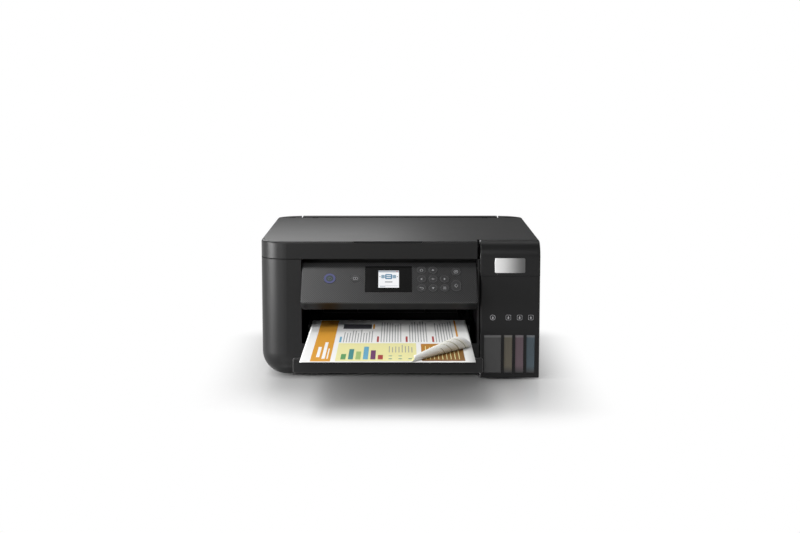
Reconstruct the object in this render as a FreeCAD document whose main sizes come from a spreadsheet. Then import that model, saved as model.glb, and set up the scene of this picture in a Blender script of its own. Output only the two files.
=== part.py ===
# Ink tank printer with a scanner on top, built as separate named pieces.
# Millimetres, Z up. The origin is under the middle of the printer with its tray pulled out.
import FreeCAD, Part
import math
import os
import Sketcher

doc = FreeCAD.newDocument("ink_tank_printer")
sheet = doc.addObject("Spreadsheet::Sheet", "sizes")

# Driving dimensions in millimetres and degrees
dimensions = {
    # overall body
    "body_width": 375, "body_depth": 347, "body_height": 187, "print_reach": 231.5,
    "wall": 2.5, "foot_height": 2.5, "foot_radius": 9, "foot_inset": 50,
    "corner_round": 36, "base_round": 32, "edge_round": 2.5,
    "band_height": 23.3, "seam_gap": 0.4, "fit_gap": 0.3, "running_gap": 0.06,
    # front opening and tank bay
    "opening_left": 132, "sill_height": 49.3, "bay_left": 106, "bay_depth": 116,
    "shroud_height": 46.2, "pivot_wall_depth": 30, "band_end": 103,
    # tilting control panel
    "panel_width": 234, "panel_length": 64, "panel_thickness": 16, "panel_tilt": 42,
    "panel_face": 2.7, "panel_top": 8.5, "panel_corner": 5, "fascia": 2.5,
    "pivot_depth": 4.7, "pivot_drop": 14.2, "pivot_radius": 3,
    "display_width": 62.3, "display_length": 41.3, "display_left": 32.2,
    "display_drop": 5.9, "display_thickness": 1.2, "display_seat": 1,
    "button_gap": 0.25, "button_proud": 0.4, "button_depth": 4.5,
    "power_radius": 8, "power_across": -79.2, "help_radius": 5.5, "help_across": -45,
    "side_drop": 25.6, "key_radius": 6, "key_across": 42.9, "key_drop": 12.2,
    "column_step": 15.25, "row_step": 14.3, "stop_radius": 6.4, "start_across": 88.8,
    "stop_drop": 14.9, "start_drop": 37.2, "start_width": 13, "start_length": 18,
    "start_round": 6,
    # output tray and sheet
    "path_shift": 0.5, "sheet_width": 210, "sheet_length": 297, "sheet_thickness": 0.3,
    "sheet_height": 70, "tray_travel": 104, "tray_gap": 0.3,
    "lip_width": 229.5, "lip_height": 18, "lip_thickness": 6, "lip_edge": 1.5,
    "leaf_width": 192, "leaf_thickness": 2.5, "leaf_length": 145,
    "tongue_width": 3, "tongue_thickness": 1.2, "tray_length": 165, "tray_floor": 3,
    "tray_side": 2.7, "flange_width": 4, "flange_thickness": 2,
    "rail_start": 36, "rail_end": 205, "rail_wall": 4, "rail_ledge": 8,
    # scanner unit
    "cover_thickness": 9, "frame_rear": 314, "band_depth": 3.6, "band_drop": 0.3,
    "band_return": 4,
    "notch_width": 96, "notch_centre": -16, "notch_depth": 1.8, "notch_taper": 3,
    "bed_width": 297, "bed_depth": 216, "bed_left": 159, "bed_front": 62,
    "glass_margin": 7, "glass_thickness": 3, "tub_left": 172, "tub_right": 150,
    "tub_front": 46, "tub_rear": 294, "tub_drop": 30,
    "scan_rail_radius": 4, "scan_rail_depth": 170, "scan_rail_lift": 8,
    "scan_bar_width": 24, "scan_bar_length": 220, "scan_bar_lift": 13,
    "scan_bushing": 20, "scan_home": 3,
    "scanner_axis_depth": 319, "scanner_axis_drop": 5.8, "hinge_pin": 1.8,
    "hinge_knuckle": 2.9, "arm_inset": 21.5, "arm_width": 9, "lug_width": 5,
    # tank shroud and document cover
    "shroud_round": 22, "shroud_depth": 24, "shroud_side": 40, "shroud_gap": 0.5,
    "cover_gap": 0.4, "cover_rear": 315, "cover_axis_depth": 312, "cover_axis_drop": 3.5,
    "cover_knuckle": 3.1, "knuckle_across": 130, "knuckle_width": 8, "rebate": 2.2,
    "mat_lift": 0.4, "mat_margin": 1,
    # rear deck and paper support
    "deck_front": 320.5, "post_width": 35, "post_drop": 0.5, "recess_depth": 9,
    "support_gap": 2.5, "support_front": 322.5, "support_width": 200,
    "support_foot": 10, "support_thickness": 2.5, "slot_front": 322, "slot_rear": 342.5,
    # rear feeder
    "feed_lean": 30, "hopper_depth": 326, "hopper_drop": 0.7, "hopper_foot": 6.9,
    "hopper_thickness": 2.5, "feeder_half": 113.25, "cheek": 2.5, "cheek_front": 258,
    "cheek_rear": 308, "cheek_drop": 8, "guide_floor": 82.5, "guide_front": 214,
    "pick_radius": 18, "pick_width": 40, "pick_shaft": 3, "pick_gap": 1, "pick_along": 55,
    "edge_guide_start": 8, "edge_guide_end": 44, "edge_guide_reach": 12,
    "edge_guide_plate": 2, "edge_guide_foot": 14,
    # rear cover and sockets
    "inlet_space": 5.5, "cover_right": 94.5, "cover_bottom": 34.5, "cover_top": 111.5,
    "cover_plate": 3, "cover_ribs": 5, "rib_reach": 20, "rib_width": 2,
    "inlet_inset": 38.5, "inlet_width": 22, "inlet_bottom": 44, "inlet_height": 18,
    "inlet_length": 19, "socket_wall": 3, "socket_depth": 14,
    # ink tanks
    "window_bottom": 8.9, "window_top": 60.9, "window_recess": 0.8, "window_wall": 2,
    "tank_bottom": 6, "tank_drop": 28.8, "tank_length": 97, "tank_wall": 1.5,
    "neck_depth": 60, "neck_step": 0.8, "neck_wall": 2.2, "neck_height": 10,
    "cap_margin": 0.87, "cap_thickness": 2.5, "plug_gap": 0.2, "plug_length": 3,
    "cap_reach": 15, "cap_barrel": 2.2, "cap_pin": 1.2, "cap_lug": 2, "cap_arm": 5,
    "tank_margin": 5.2, "tank_end": 5, "tank_space": 0.7, "black_extra": 11.87,
    "window_margin": 1.5,
    # print mechanism
    "plate_left": 152, "plate_right": 153, "metal": 1.5, "plate_front": 128,
    "back_depth": 213, "back_bottom": 98, "back_drop": 8, "flange_front": 203,
    "feed_depth": 205, "roller_height": 84, "feed_radius": 6, "exit_depth": 140,
    "exit_shaft": 4, "exit_tyre": 6, "exit_tyre_width": 12, "exit_tyres": 6,
    "exit_spread": 170, "platen_front": 148, "platen_rear": 196, "platen_bottom": 76,
    "platen_top": 86, "platen_rib": 3, "platen_ribs": 12, "platen_right": 91,
    "station_left": 93, "station_top": 87, "station_wall": 3,
    "carriage_width": 78, "carriage_home": 112, "carriage_front": 150, "carriage_rear": 201,
    "carriage_bottom": 94, "carriage_drop": 4, "hook_front": 190, "hook_rear": 211,
    "hook_height": 3, "clamp_width": 20, "clamp_reach": 5,
    "head_width": 68, "head_front": 158, "head_rear": 192, "head_thickness": 3,
    "belt_drop": 19, "belt_front": 206.5, "belt_width": 5, "belt_thickness": 1,
    "pulley_radius": 6.1, "pulley_width": 6, "drive_across": -140, "idler_across": 145,
    "motor_shaft": 1.5, "idler_pin": 2, "drive_motor_radius": 13, "drive_motor_length": 25,
    "gear_module": 1, "pressure_angle": 20, "tooth_tip": 0.95, "tooth_root": 1.25,
    "flank_steps": 4, "feed_teeth": 40, "idler_teeth": 25, "pinion_teeth": 18,
    "gear_width": 5, "gear_offset": 1.5, "idler_stud": 3, "tooth_play": 0.12,
    "pinion_angle": -50, "feed_motor_radius": 12, "feed_motor_length": 18,
    # electronics
    "supply_left": 151, "supply_right": 137, "supply_front": 40, "supply_rear": 120,
    "supply_height": 80, "board_left": 106, "board_right": 150, "board_front": 225,
    "board_rear": 338, "board_bottom": 40, "board_thickness": 1.6, "stand_radius": 3,
    "stand_inset": 6, "stand_rear": 305, "usb_left": 128, "usb_width": 12,
    "usb_height": 11, "usb_length": 16, "usb_wall": 1.8, "usb_depth": 9,
}

for row, (alias, number) in enumerate(dimensions.items(), start=1):
    sheet.set("A%d" % row, alias)
    sheet.set("B%d" % row, str(number))
    sheet.setAlias("B%d" % row, alias)
doc.recompute()


class Size:
    """A length that knows both its number and the sheet expression it comes from."""

    def __init__(self, text, value):
        self.text = text
        self.value = float(value)

    def join(self, sign, other, flip=False):
        first, second = (size_of(other), self) if flip else (self, size_of(other))
        value = {
            "+": lambda a, b: a + b,
            "-": lambda a, b: a - b,
            "*": lambda a, b: a * b,
            "/": lambda a, b: a / b,
        }[sign](first.value, second.value)
        return Size("(%s %s %s)" % (first.text, sign, second.text), value)

    def __add__(self, other):
        return self.join("+", other)

    def __radd__(self, other):
        return self.join("+", other, True)

    def __sub__(self, other):
        return self.join("-", other)

    def __rsub__(self, other):
        return self.join("-", other, True)

    def __mul__(self, other):
        return self.join("*", other)

    def __rmul__(self, other):
        return self.join("*", other, True)

    def __truediv__(self, other):
        return self.join("/", other)

    def __neg__(self):
        return Size("(0 - %s)" % self.text, -self.value)


def size_of(thing):
    """Return the thing as a Size, so that plain numbers can be mixed in."""
    return thing if isinstance(thing, Size) else Size(repr(float(thing)), thing)


def sine(angle):
    return Size("sin(%s * 1 deg)" % angle.text, math.sin(math.radians(angle.value)))


def cosine(angle):
    return Size("cos(%s * 1 deg)" % angle.text, math.cos(math.radians(angle.value)))


class Sizes:
    """Every driving dimension by name, read back from the sheet."""

    def __init__(self):
        for alias in dimensions:
            setattr(self, alias, Size("sizes." + alias, getattr(sheet, alias)))


d = Sizes()


# Places that several pieces share
front = (d.print_reach - d.body_depth) / 2
rear = front + d.body_depth
left_side = -d.body_width / 2
right_side = d.body_width / 2
floor = d.foot_height + d.wall
seam_height = d.body_height - d.band_height
tank_seam = d.body_height - d.shroud_height
frame_top = d.body_height - d.cover_thickness
recess_height = d.body_height - d.recess_depth
scanner_axis_height = d.body_height - d.scanner_axis_drop
cover_axis_height = d.body_height - d.cover_axis_drop
pivot_height = seam_height - d.pivot_drop
tub_bottom = frame_top - d.tub_drop
back_top = tub_bottom - d.back_drop
belt_height = back_top - d.belt_drop
case_top = seam_height - d.seam_gap
bay_top = tank_seam - d.seam_gap
opening_right = d.bay_left - d.wall
opening_centre = (opening_right - d.opening_left) / 2
path_centre = opening_centre - d.path_shift
inlet_left = right_side - d.inlet_inset
cover_left = inlet_left - d.inlet_width - d.inlet_space
scanner_arm = right_side - d.arm_inset
post_inner = right_side - d.post_width
parallel = 0.999
touching = 0.001


def behind(distance):
    """Place at a distance behind the printer's front face."""
    return front + distance


def bind(item, attribute, size):
    """Tie an object's property to the sheet."""
    item.setExpression(attribute, size_of(size).text)


def place(item, x, y, z):
    for axis, size in zip("xyz", (x, y, z)):
        bind(item, "Placement.Base." + axis, size)


# Boxes, rods and booleans
def block(label, x, y, z):
    """A box between two values on each axis."""
    item = doc.addObject("Part::Box", label)
    for attribute, span in zip(("Length", "Width", "Height"), (x, y, z)):
        bind(item, attribute, size_of(span[1]) - span[0])
    place(item, x[0], y[0], z[0])
    return item


turns = {
    "x": FreeCAD.Rotation(FreeCAD.Vector(0, 1, 0), 90),
    "y": FreeCAD.Rotation(FreeCAD.Vector(1, 0, 0), -90),
    "z": FreeCAD.Rotation(),
}


def rod(label, axis, centre, span, radius):
    """A round bar along an axis, its centre given on the two other axes in order."""
    item = doc.addObject("Part::Cylinder", label)
    bind(item, "Radius", radius)
    bind(item, "Height", size_of(span[1]) - span[0])
    item.Placement = FreeCAD.Placement(FreeCAD.Vector(), turns[axis])
    where = list(centre)
    where.insert("xyz".index(axis), span[0])
    place(item, *where)
    return item


def fuse(label, *pieces):
    item = doc.addObject("Part::MultiFuse", label)
    item.Shapes = list(pieces)
    item.Refine = True
    return item


def cut(label, base, *tools):
    item = doc.addObject("Part::Cut", label)
    item.Base = base
    item.Tool = tools[0] if len(tools) == 1 else fuse(label + "_tools", *tools)
    item.Refine = True
    return item


def common(label, first, second):
    item = doc.addObject("Part::MultiCommon", label)
    item.Shapes = [first, second]
    return item


def group(label, *pieces):
    """Several separate solids kept as one sub-part."""
    item = doc.addObject("Part::Compound", label)
    item.Links = list(pieces)
    return item


# Sketched bodies
def new_body(label):
    return doc.addObject("PartDesign::Body", label)


def new_sketch(body, plane, start):
    """A sketch on one of the body's own planes, moved to a start value along it."""
    sketch = body.newObject("Sketcher::SketchObject", body.Label + "_sketch")
    support = [item for item in body.Origin.OriginFeatures if item.Role == plane + "_Plane"]
    sketch.AttachmentSupport = [(support[0], "")]
    sketch.MapMode = "FlatFace"
    bind(sketch, "AttachmentOffset.Base.z", -size_of(start) if plane == "XZ" else start)
    return sketch


def draw_polygon(sketch, corners):
    """A closed line through corners, each tied to the sheet."""
    spots = [(size_of(a), size_of(b)) for a, b in corners]
    points = [FreeCAD.Vector(a.value, b.value, 0) for a, b in spots]
    first = sketch.GeometryCount
    count = len(spots)
    for index in range(count):
        sketch.addGeometry(Part.LineSegment(points[index], points[(index + 1) % count]))
    for index in range(count):
        after = first + (index + 1) % count
        sketch.addConstraint(Sketcher.Constraint("Coincident", first + index, 2, after, 1))
    for index, (a, b) in enumerate(spots):
        tie_point(sketch, first + index, 1, a, b)


def tie_point(sketch, geometry, point, a, b):
    for kind, size in (("DistanceX", a), ("DistanceY", b)):
        tie = Sketcher.Constraint(kind, -1, 1, geometry, point, size.value)
        number = sketch.addConstraint(tie)
        sketch.setExpression("Constraints[%d]" % number, size.text)


def draw_circle(sketch, a, b, radius):
    a, b, radius = size_of(a), size_of(b), size_of(radius)
    centre = FreeCAD.Vector(a.value, b.value, 0)
    circle = Part.Circle(centre, FreeCAD.Vector(0, 0, 1), radius.value)
    number = sketch.addGeometry(circle)
    tie_point(sketch, number, 3, a, b)
    tie = sketch.addConstraint(Sketcher.Constraint("Radius", number, radius.value))
    sketch.setExpression("Constraints[%d]" % tie, radius.text)


def extrude(body, kind, sketch, depth):
    """Pad or pocket a sketch towards the positive end of its axis."""
    feature = body.newObject("PartDesign::" + kind, body.Label + "_" + kind.lower())
    feature.Profile = sketch
    bind(feature, "Length", depth)
    along = sketch.AttachmentSupport[0][0].Role != "XZ_Plane"
    feature.Reversed = (not along) if kind == "Pad" else along
    doc.recompute()
    return feature


def prism(label, plane, span, corners):
    """A body with one polygon extruded between two values."""
    body = new_body(label)
    add_prism(body, "Pad", plane, span, corners)
    return body


def add_prism(body, kind, plane, span, corners):
    sketch = new_sketch(body, plane, span[0])
    draw_polygon(sketch, corners)
    return extrude(body, kind, sketch, size_of(span[1]) - span[0])


def rectangle(a, b):
    return [(a[0], b[0]), (a[1], b[0]), (a[1], b[1]), (a[0], b[1])]


def at(edge, box, **sides):
    """True for an edge whose middle lies on the named sides of a box, low or high."""
    middle = edge.valueAt((edge.FirstParameter + edge.LastParameter) / 2)
    for axis, side in sides.items():
        limit = getattr(box, axis.upper() + ("Min" if side == "low" else "Max"))
        if abs(getattr(middle, axis) - limit) > touching:
            return False
    return True


def upright(edge, axis):
    """True for a straight edge that runs along an axis."""
    if edge.Curve.TypeId != "Part::GeomLine":
        return False
    return abs(getattr(edge.tangentAt(edge.FirstParameter), axis)) > parallel


def edge_names(shape, test):
    return ["Edge%d" % (i + 1) for i, edge in enumerate(shape.Edges) if test(edge, shape.BoundBox)]


def round_off(body, radius, test):
    """Fillet the edges of the body's last feature that pass a test."""
    base = body.Tip
    feature = body.newObject("PartDesign::Fillet", body.Label + "_fillet")
    feature.Base = (base, edge_names(base.Shape, test))
    bind(feature, "Radius", radius)
    doc.recompute()
    return feature


def hollow(body, thickness, axis, side):
    """Shell the body inwards and leave it open on one side."""
    base = body.Tip
    box = base.Shape.BoundBox
    limit = getattr(box, axis.upper() + ("Min" if side == "low" else "Max"))
    faces = []
    for index, face in enumerate(base.Shape.Faces):
        flat = face.Surface.TypeId == "Part::GeomPlane"
        if flat and abs(getattr(face.CenterOfMass, axis) - limit) < touching:
            if abs(getattr(face.normalAt(0, 0), axis)) > parallel:
                faces.append("Face%d" % (index + 1))
    feature = body.newObject("PartDesign::Thickness", body.Label + "_shell")
    feature.Base = (base, faces)
    feature.Reversed = True
    feature.Join = 0
    bind(feature, "Value", thickness)
    doc.recompute()
    return feature


# Lower case with the left pillar, the sill and the rear wall
def make_lower_case():
    bay_rear = behind(d.bay_depth)
    outline = [
        (left_side, front), (d.bay_left, front), (d.bay_left, bay_rear),
        (right_side, bay_rear), (right_side, rear), (left_side, rear),
    ]
    shell = prism("case_shell", "XY", (d.foot_height, case_top), outline)

    def outer_corner(edge, box):
        if not upright(edge, "z"):
            return False
        rear_right = at(edge, box, x="high", y="high")
        return at(edge, box, x="low") or rear_right

    def outer_base(edge, box):
        if not at(edge, box, z="low"):
            return False
        sides = [at(edge, box, x="low"), at(edge, box, x="high")]
        sides += [at(edge, box, y="low"), at(edge, box, y="high")]
        return any(sides) or edge.Curve.TypeId == "Part::GeomCircle"

    round_off(shell, d.corner_round, outer_corner)
    round_off(shell, d.base_round, outer_base)
    hollow(shell, d.wall, "z", "high")
    pivot_wall = block(
        "pivot_wall",
        (-d.opening_left - d.wall, -d.opening_left),
        (behind(d.wall / 2), behind(d.pivot_wall_depth)),
        (d.sill_height - d.wall, case_top),
    )
    walls = fuse("case_walls", shell, pivot_wall)
    opening = block(
        "front_opening",
        (-d.opening_left, opening_right),
        (front - d.wall, behind(d.pivot_wall_depth)),
        (d.sill_height, d.body_height),
    )
    bay_step = block(
        "bay_step",
        (d.bay_left, right_side + d.wall),
        (bay_rear - d.wall, behind(d.frame_rear + d.shroud_gap)),
        (bay_top, d.body_height),
    )
    tub_room = block(
        "tub_room",
        (opening_right - d.wall, d.bay_left + d.wall),
        (behind(d.pivot_wall_depth), bay_rear + d.wall),
        (bay_top, d.body_height),
    )
    rear_opening = block(
        "rear_opening",
        (-cover_left, d.cover_right),
        (rear - 2 * d.wall, rear + d.wall),
        (d.cover_bottom, d.cover_top),
    )
    inlet_hole = block(
        "inlet_hole",
        (-inlet_left - d.fit_gap, d.inlet_width - inlet_left + d.fit_gap),
        (rear - 2 * d.wall, rear + d.wall),
        (d.inlet_bottom - d.fit_gap, d.inlet_bottom + d.inlet_height + d.fit_gap),
    )
    usb_bottom = d.board_bottom + d.board_thickness
    usb_hole = block(
        "usb_hole",
        (d.usb_left - d.fit_gap, d.usb_left + d.usb_width + d.fit_gap),
        (rear - 2 * d.wall, rear + d.wall),
        (usb_bottom - d.fit_gap, usb_bottom + d.usb_height + d.fit_gap),
    )
    pivot_hole = rod(
        "pivot_hole", "x",
        (behind(d.pivot_depth), pivot_height),
        (-d.opening_left - 2 * d.wall, d.bay_left + d.wall),
        d.pivot_radius + d.running_gap,
    )
    return cut(
        "lower_case", walls, opening, bay_step, tub_room, rear_opening, inlet_hole, usb_hole,
        pivot_hole,
    )


def make_feet():
    feet = []
    for side in (-1, 1):
        for depth in (behind(d.foot_inset), rear - d.foot_inset):
            across = side * (right_side - d.foot_inset)
            feet.append(rod("foot", "z", (across, depth), (0, d.foot_height), d.foot_radius))
    return group("rubber_feet", *feet)


# Ink tank unit at the right of the front
tank_left = d.bay_left + d.tank_margin
tank_right = right_side - d.tank_end
colour_width = (tank_right - tank_left - d.black_extra - 3 * d.tank_space) / 4
black_right = tank_left + colour_width + d.black_extra
tank_step = colour_width + d.tank_space
tank_spans = [(tank_left, black_right)]
for number in range(3):
    tank_start = black_right + d.tank_space + number * tank_step
    tank_spans.append((tank_start, tank_start + colour_width))
windows = [(low + d.window_margin, high - d.window_margin) for low, high in tank_spans]
cap_radius = colour_width / 2 - d.cap_margin
neck_radius = cap_radius - d.neck_step
neck_bore = neck_radius - d.neck_wall
plug_radius = neck_bore - d.plug_gap
tank_colours = ["black", "yellow", "magenta", "cyan"]
tank_top = tank_seam - d.tank_drop
neck_top = tank_top + d.neck_height
plug_bottom = neck_top - d.plug_length
cap_base = neck_top + d.fit_gap
cap_axis_depth = behind(d.neck_depth + d.cap_reach)


def make_tank_housing():
    bay = prism(
        "tank_bay", "XY", (d.foot_height, bay_top),
        rectangle((d.bay_left + d.fit_gap, right_side), (front, behind(d.bay_depth - d.fit_gap))),
    )
    round_off(bay, d.edge_round + d.wall / 2, lambda e, b: upright(e, "z") and at(e, b, y="low"))
    hollow(bay, d.wall, "z", "high")
    holes = []
    for low, high in windows:
        across = (low, high)
        depth = (front - d.wall, behind(2 * d.wall))
        holes.append(block("window_hole", across, depth, (d.window_bottom, d.window_top)))
    return cut("tank_housing", bay, *holes)


def make_tank(number):
    """A hollow tank with a window boss in front, a filler neck and hinge lugs for its cap."""
    low, high = tank_spans[number]
    name = tank_colours[number]
    middle = (low + high) / 2
    tank_front = behind(d.wall + d.fit_gap)
    depth = (tank_front, tank_front + d.tank_length)
    height = (d.tank_bottom, tank_top)
    outside = block(name + "_outside", (low, high), depth, height)
    window = windows[number]
    boss = block(
        name + "_boss",
        (window[0] + d.fit_gap, window[1] - d.fit_gap),
        (behind(d.window_recess), tank_front + d.tank_wall),
        (d.window_bottom + d.fit_gap, d.window_top - d.fit_gap),
    )
    neck_at = (middle, behind(d.neck_depth))
    neck = rod(name + "_neck", "z", neck_at, (tank_top, neck_top), neck_radius)
    lugs = []
    for side in (-1, 1):
        inner = middle + side * (d.cap_arm / 2 + d.fit_gap)
        outer = inner + side * d.cap_lug
        reach = d.cap_pin + d.cap_lug / 2
        lugs.append(block(
            name + "_lug",
            (inner, outer) if side > 0 else (outer, inner),
            (cap_axis_depth - reach, cap_axis_depth + reach),
            (tank_top, plug_bottom + reach),
        ))
    half_pin = d.cap_arm / 2 + d.fit_gap + d.cap_lug
    pin = rod(
        name + "_pin", "x", (cap_axis_depth, plug_bottom),
        (middle - half_pin, middle + half_pin), d.cap_pin,
    )
    solid = fuse(name + "_solid", outside, boss, neck, pin, *lugs)
    inside = block(
        name + "_inside",
        (low + d.tank_wall, high - d.tank_wall),
        (tank_front + d.tank_wall, tank_front + d.tank_length - d.tank_wall),
        (d.tank_bottom + d.tank_wall, tank_top - d.tank_wall),
    )
    bore = rod(
        name + "_bore", "z", neck_at,
        (tank_top - 2 * d.tank_wall, neck_top + d.tank_wall), neck_bore,
    )
    return cut("ink_tank_" + name, solid, inside, bore)


def make_cap(number):
    """A cap with a plug, an arm and a barrel that turns on the tank's pin."""
    low, high = tank_spans[number]
    name = tank_colours[number]
    middle = (low + high) / 2
    neck_at = (middle, behind(d.neck_depth))
    cap_top = cap_base + d.cap_thickness
    disc = rod(name + "_disc", "z", neck_at, (cap_base, cap_top), cap_radius)
    plug = rod(name + "_plug", "z", neck_at, (plug_bottom, cap_base), plug_radius)
    half_arm = d.cap_arm / 2
    arm = block(
        name + "_arm", (middle - half_arm, middle + half_arm),
        (behind(d.neck_depth), cap_axis_depth + d.cap_barrel), (cap_base, cap_top),
    )
    drop = block(
        name + "_drop", (middle - half_arm, middle + half_arm),
        (cap_axis_depth - d.cap_barrel, cap_axis_depth + d.cap_barrel), (plug_bottom, cap_top),
    )
    barrel = rod(
        name + "_barrel", "x", (cap_axis_depth, plug_bottom),
        (middle - half_arm, middle + half_arm), d.cap_barrel,
    )
    solid = fuse(name + "_cap_solid", disc, plug, arm, drop, barrel)
    bore = rod(
        name + "_cap_bore", "x", (cap_axis_depth, plug_bottom),
        (middle - d.cap_arm, middle + d.cap_arm), d.cap_pin + d.running_gap,
    )
    return cut(name + "_tank_cap", solid, bore)


# Scanner unit
def make_scanner_frame():
    """Top frame of the scanner: skirt, bed window, front band and the two sets of hinge arms."""
    body = new_body("frame_shell")
    rear_edge = behind(d.frame_rear)
    step = behind(d.shroud_side + d.shroud_gap)
    outline = [
        (left_side, front), (d.band_end, front), (d.band_end, step),
        (right_side, step), (right_side, rear_edge), (left_side, rear_edge),
    ]
    add_prism(body, "Pad", "XY", (seam_height, frame_top), outline)
    round_off(
        body, d.corner_round, lambda e, b: upright(e, "z") and at(e, b, x="low", y="low")
    )
    hollow(body, d.wall, "z", "low")
    bed = [
        (-d.bed_left, d.bed_width - d.bed_left),
        (behind(d.bed_front), behind(d.bed_front + d.bed_depth)),
    ]
    window = block("bed_window", bed[0], bed[1], (frame_top - 2 * d.wall, d.body_height))

    band_top = d.body_height - d.band_drop
    corner_end = behind(d.corner_round + d.band_return)
    band = prism(
        "front_band", "XY", (frame_top, band_top),
        [(left_side, front), (d.band_end, front), (d.band_end, corner_end), (left_side, corner_end)],
    )
    round_off(
        band, d.corner_round, lambda e, b: upright(e, "z") and at(e, b, x="low", y="low")
    )
    round_off(
        band, d.edge_round,
        lambda e, b: at(e, b, z="high") and not at(e, b, x="high") and not at(e, b, y="high"),
    )
    core = prism(
        "band_core", "XY", (frame_top, d.body_height),
        rectangle((left_side + d.band_depth, right_side), (behind(d.band_depth), rear_edge)),
    )
    round_off(
        core, d.corner_round - d.band_depth,
        lambda e, b: upright(e, "z") and at(e, b, x="low", y="low"),
    )
    half_notch = d.notch_width / 2
    notch = prism(
        "finger_notch", "XZ", (front - d.wall, behind(2 * d.band_depth)),
        [
            (d.notch_centre - half_notch, band_top + d.wall),
            (d.notch_centre - half_notch + d.notch_taper, band_top - d.notch_depth),
            (d.notch_centre + half_notch - d.notch_taper, band_top - d.notch_depth),
            (d.notch_centre + half_notch, band_top + d.wall),
        ],
    )
    front_strip = cut("front_strip", band, core, notch)
    skirt = block(
        "right_skirt", (right_side - d.wall, right_side),
        (step, rear_edge), (tank_seam, seam_height + d.wall),
    )
    solids = [front_strip, skirt]
    bores = [window]
    axis_depth = behind(d.scanner_axis_depth)
    cover_axis = behind(d.cover_axis_depth)
    for side in (-1, 1):
        across = side * scanner_arm
        span = (across - d.arm_width / 2, across + d.arm_width / 2)
        low_z = frame_top - 2 * d.hinge_knuckle
        solids.append(block(
            "arm_foot", span, (rear_edge - d.wall / 2, axis_depth + d.hinge_knuckle),
            (low_z, frame_top - d.fit_gap),
        ))
        solids.append(block(
            "arm_post", span, (axis_depth - d.hinge_knuckle, axis_depth + d.hinge_knuckle),
            (low_z, scanner_axis_height),
        ))
        solids.append(rod(
            "arm_eye", "x", (axis_depth, scanner_axis_height), span, d.hinge_knuckle
        ))
        bores.append(rod(
            "arm_bore", "x", (axis_depth, scanner_axis_height),
            (across - d.arm_width, across + d.arm_width), d.hinge_pin + d.running_gap,
        ))
        knuckle = side * d.knuckle_across
        ear = (knuckle - d.knuckle_width / 2, knuckle + d.knuckle_width / 2)
        solids.append(rod(
            "cover_ear", "x", (cover_axis, cover_axis_height), ear, d.cover_knuckle
        ))
        solids.append(block(
            "ear_web", ear, (cover_axis - d.hinge_pin, cover_axis + d.hinge_pin),
            (frame_top - d.wall, cover_axis_height),
        ))
        bores.append(rod(
            "ear_bore", "x", (cover_axis, cover_axis_height),
            (knuckle - d.knuckle_width, knuckle + d.knuckle_width),
            d.hinge_pin + d.running_gap,
        ))
    solid = fuse("frame_solid", body, *solids)
    return cut("scanner_frame", solid, *bores)


def make_scanner_tub():
    tub = prism(
        "scanner_tub", "XY", (tub_bottom, frame_top - d.wall),
        rectangle((-d.tub_left, d.tub_right), (behind(d.tub_front), behind(d.tub_rear))),
    )
    hollow(tub, d.wall, "z", "high")
    return tub


def make_scanner_glass():
    top = frame_top - d.wall
    across = (-d.bed_left - d.glass_margin, d.bed_width - d.bed_left + d.glass_margin)
    depth = (
        behind(d.bed_front - d.glass_margin),
        behind(d.bed_front + d.bed_depth + d.glass_margin),
    )
    return block("scanner_glass", across, depth, (top - d.glass_thickness, top))


scan_rail_height = tub_bottom + d.scan_rail_lift
scan_bar_bottom = tub_bottom + d.scan_bar_lift


def make_scan_rail():
    return rod(
        "scan_rail", "x", (behind(d.scan_rail_depth), scan_rail_height),
        (-d.tub_left + d.wall, d.tub_right - d.wall), d.scan_rail_radius,
    )


def make_scan_bar():
    left = -d.tub_left + d.wall + d.scan_home
    span = (left, left + d.scan_bar_width)
    axis_depth = behind(d.scan_rail_depth)
    glass_bottom = frame_top - d.wall - d.glass_thickness
    bar = block(
        "scan_bar_body", span,
        (axis_depth - d.scan_bar_length / 2, axis_depth + d.scan_bar_length / 2),
        (scan_bar_bottom, glass_bottom - d.fit_gap),
    )
    bushing = block(
        "scan_bushing", span,
        (axis_depth - d.scan_bushing / 2, axis_depth + d.scan_bushing / 2),
        (tub_bottom + d.wall + d.fit_gap, scan_bar_bottom),
    )
    solid = fuse("scan_bar_solid", bar, bushing)
    bore = rod(
        "scan_bore", "x", (axis_depth, scan_rail_height),
        (left - d.wall, left + d.scan_bar_width + d.wall),
        d.scan_rail_radius + d.running_gap,
    )
    return cut("scan_bar", solid, bore)


def make_tank_shroud():
    """Rounded cover over the front of the tanks, closed at both ends."""
    bottom = tank_seam
    across = (d.bay_left + d.fit_gap, right_side)
    depth = behind(d.shroud_depth)
    outer = prism(
        "shroud_outer", "YZ", across,
        [(front, bottom), (depth, bottom), (depth, d.body_height), (front, d.body_height)],
    )
    round_off(
        outer, d.shroud_round, lambda e, b: upright(e, "x") and at(e, b, y="low", z="high")
    )
    round_off(
        outer, d.edge_round,
        lambda e, b: not upright(e, "x") and not at(e, b, y="high") and not at(e, b, z="low"),
    )
    inner = prism(
        "shroud_inner", "YZ", (across[0] + d.wall, across[1] - d.wall),
        [
            (behind(d.wall), bottom - d.wall), (depth + d.wall, bottom - d.wall),
            (depth + d.wall, d.body_height - d.wall), (behind(d.wall), d.body_height - d.wall),
        ],
    )
    round_off(
        inner, d.shroud_round - d.wall,
        lambda e, b: upright(e, "x") and at(e, b, y="low", z="high"),
    )
    shell = cut("shroud_shell", outer, inner)
    side = block(
        "shroud_flank", (right_side - d.wall, right_side),
        (depth - d.wall, behind(d.shroud_side)), (bottom, frame_top),
    )
    ledge = block(
        "shroud_ledge", (d.band_end + d.shroud_gap, across[1] - d.wall),
        (depth - d.wall, behind(d.shroud_side)), (frame_top - d.wall, frame_top),
    )
    return fuse("tank_shroud", shell, side, ledge)


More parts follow.
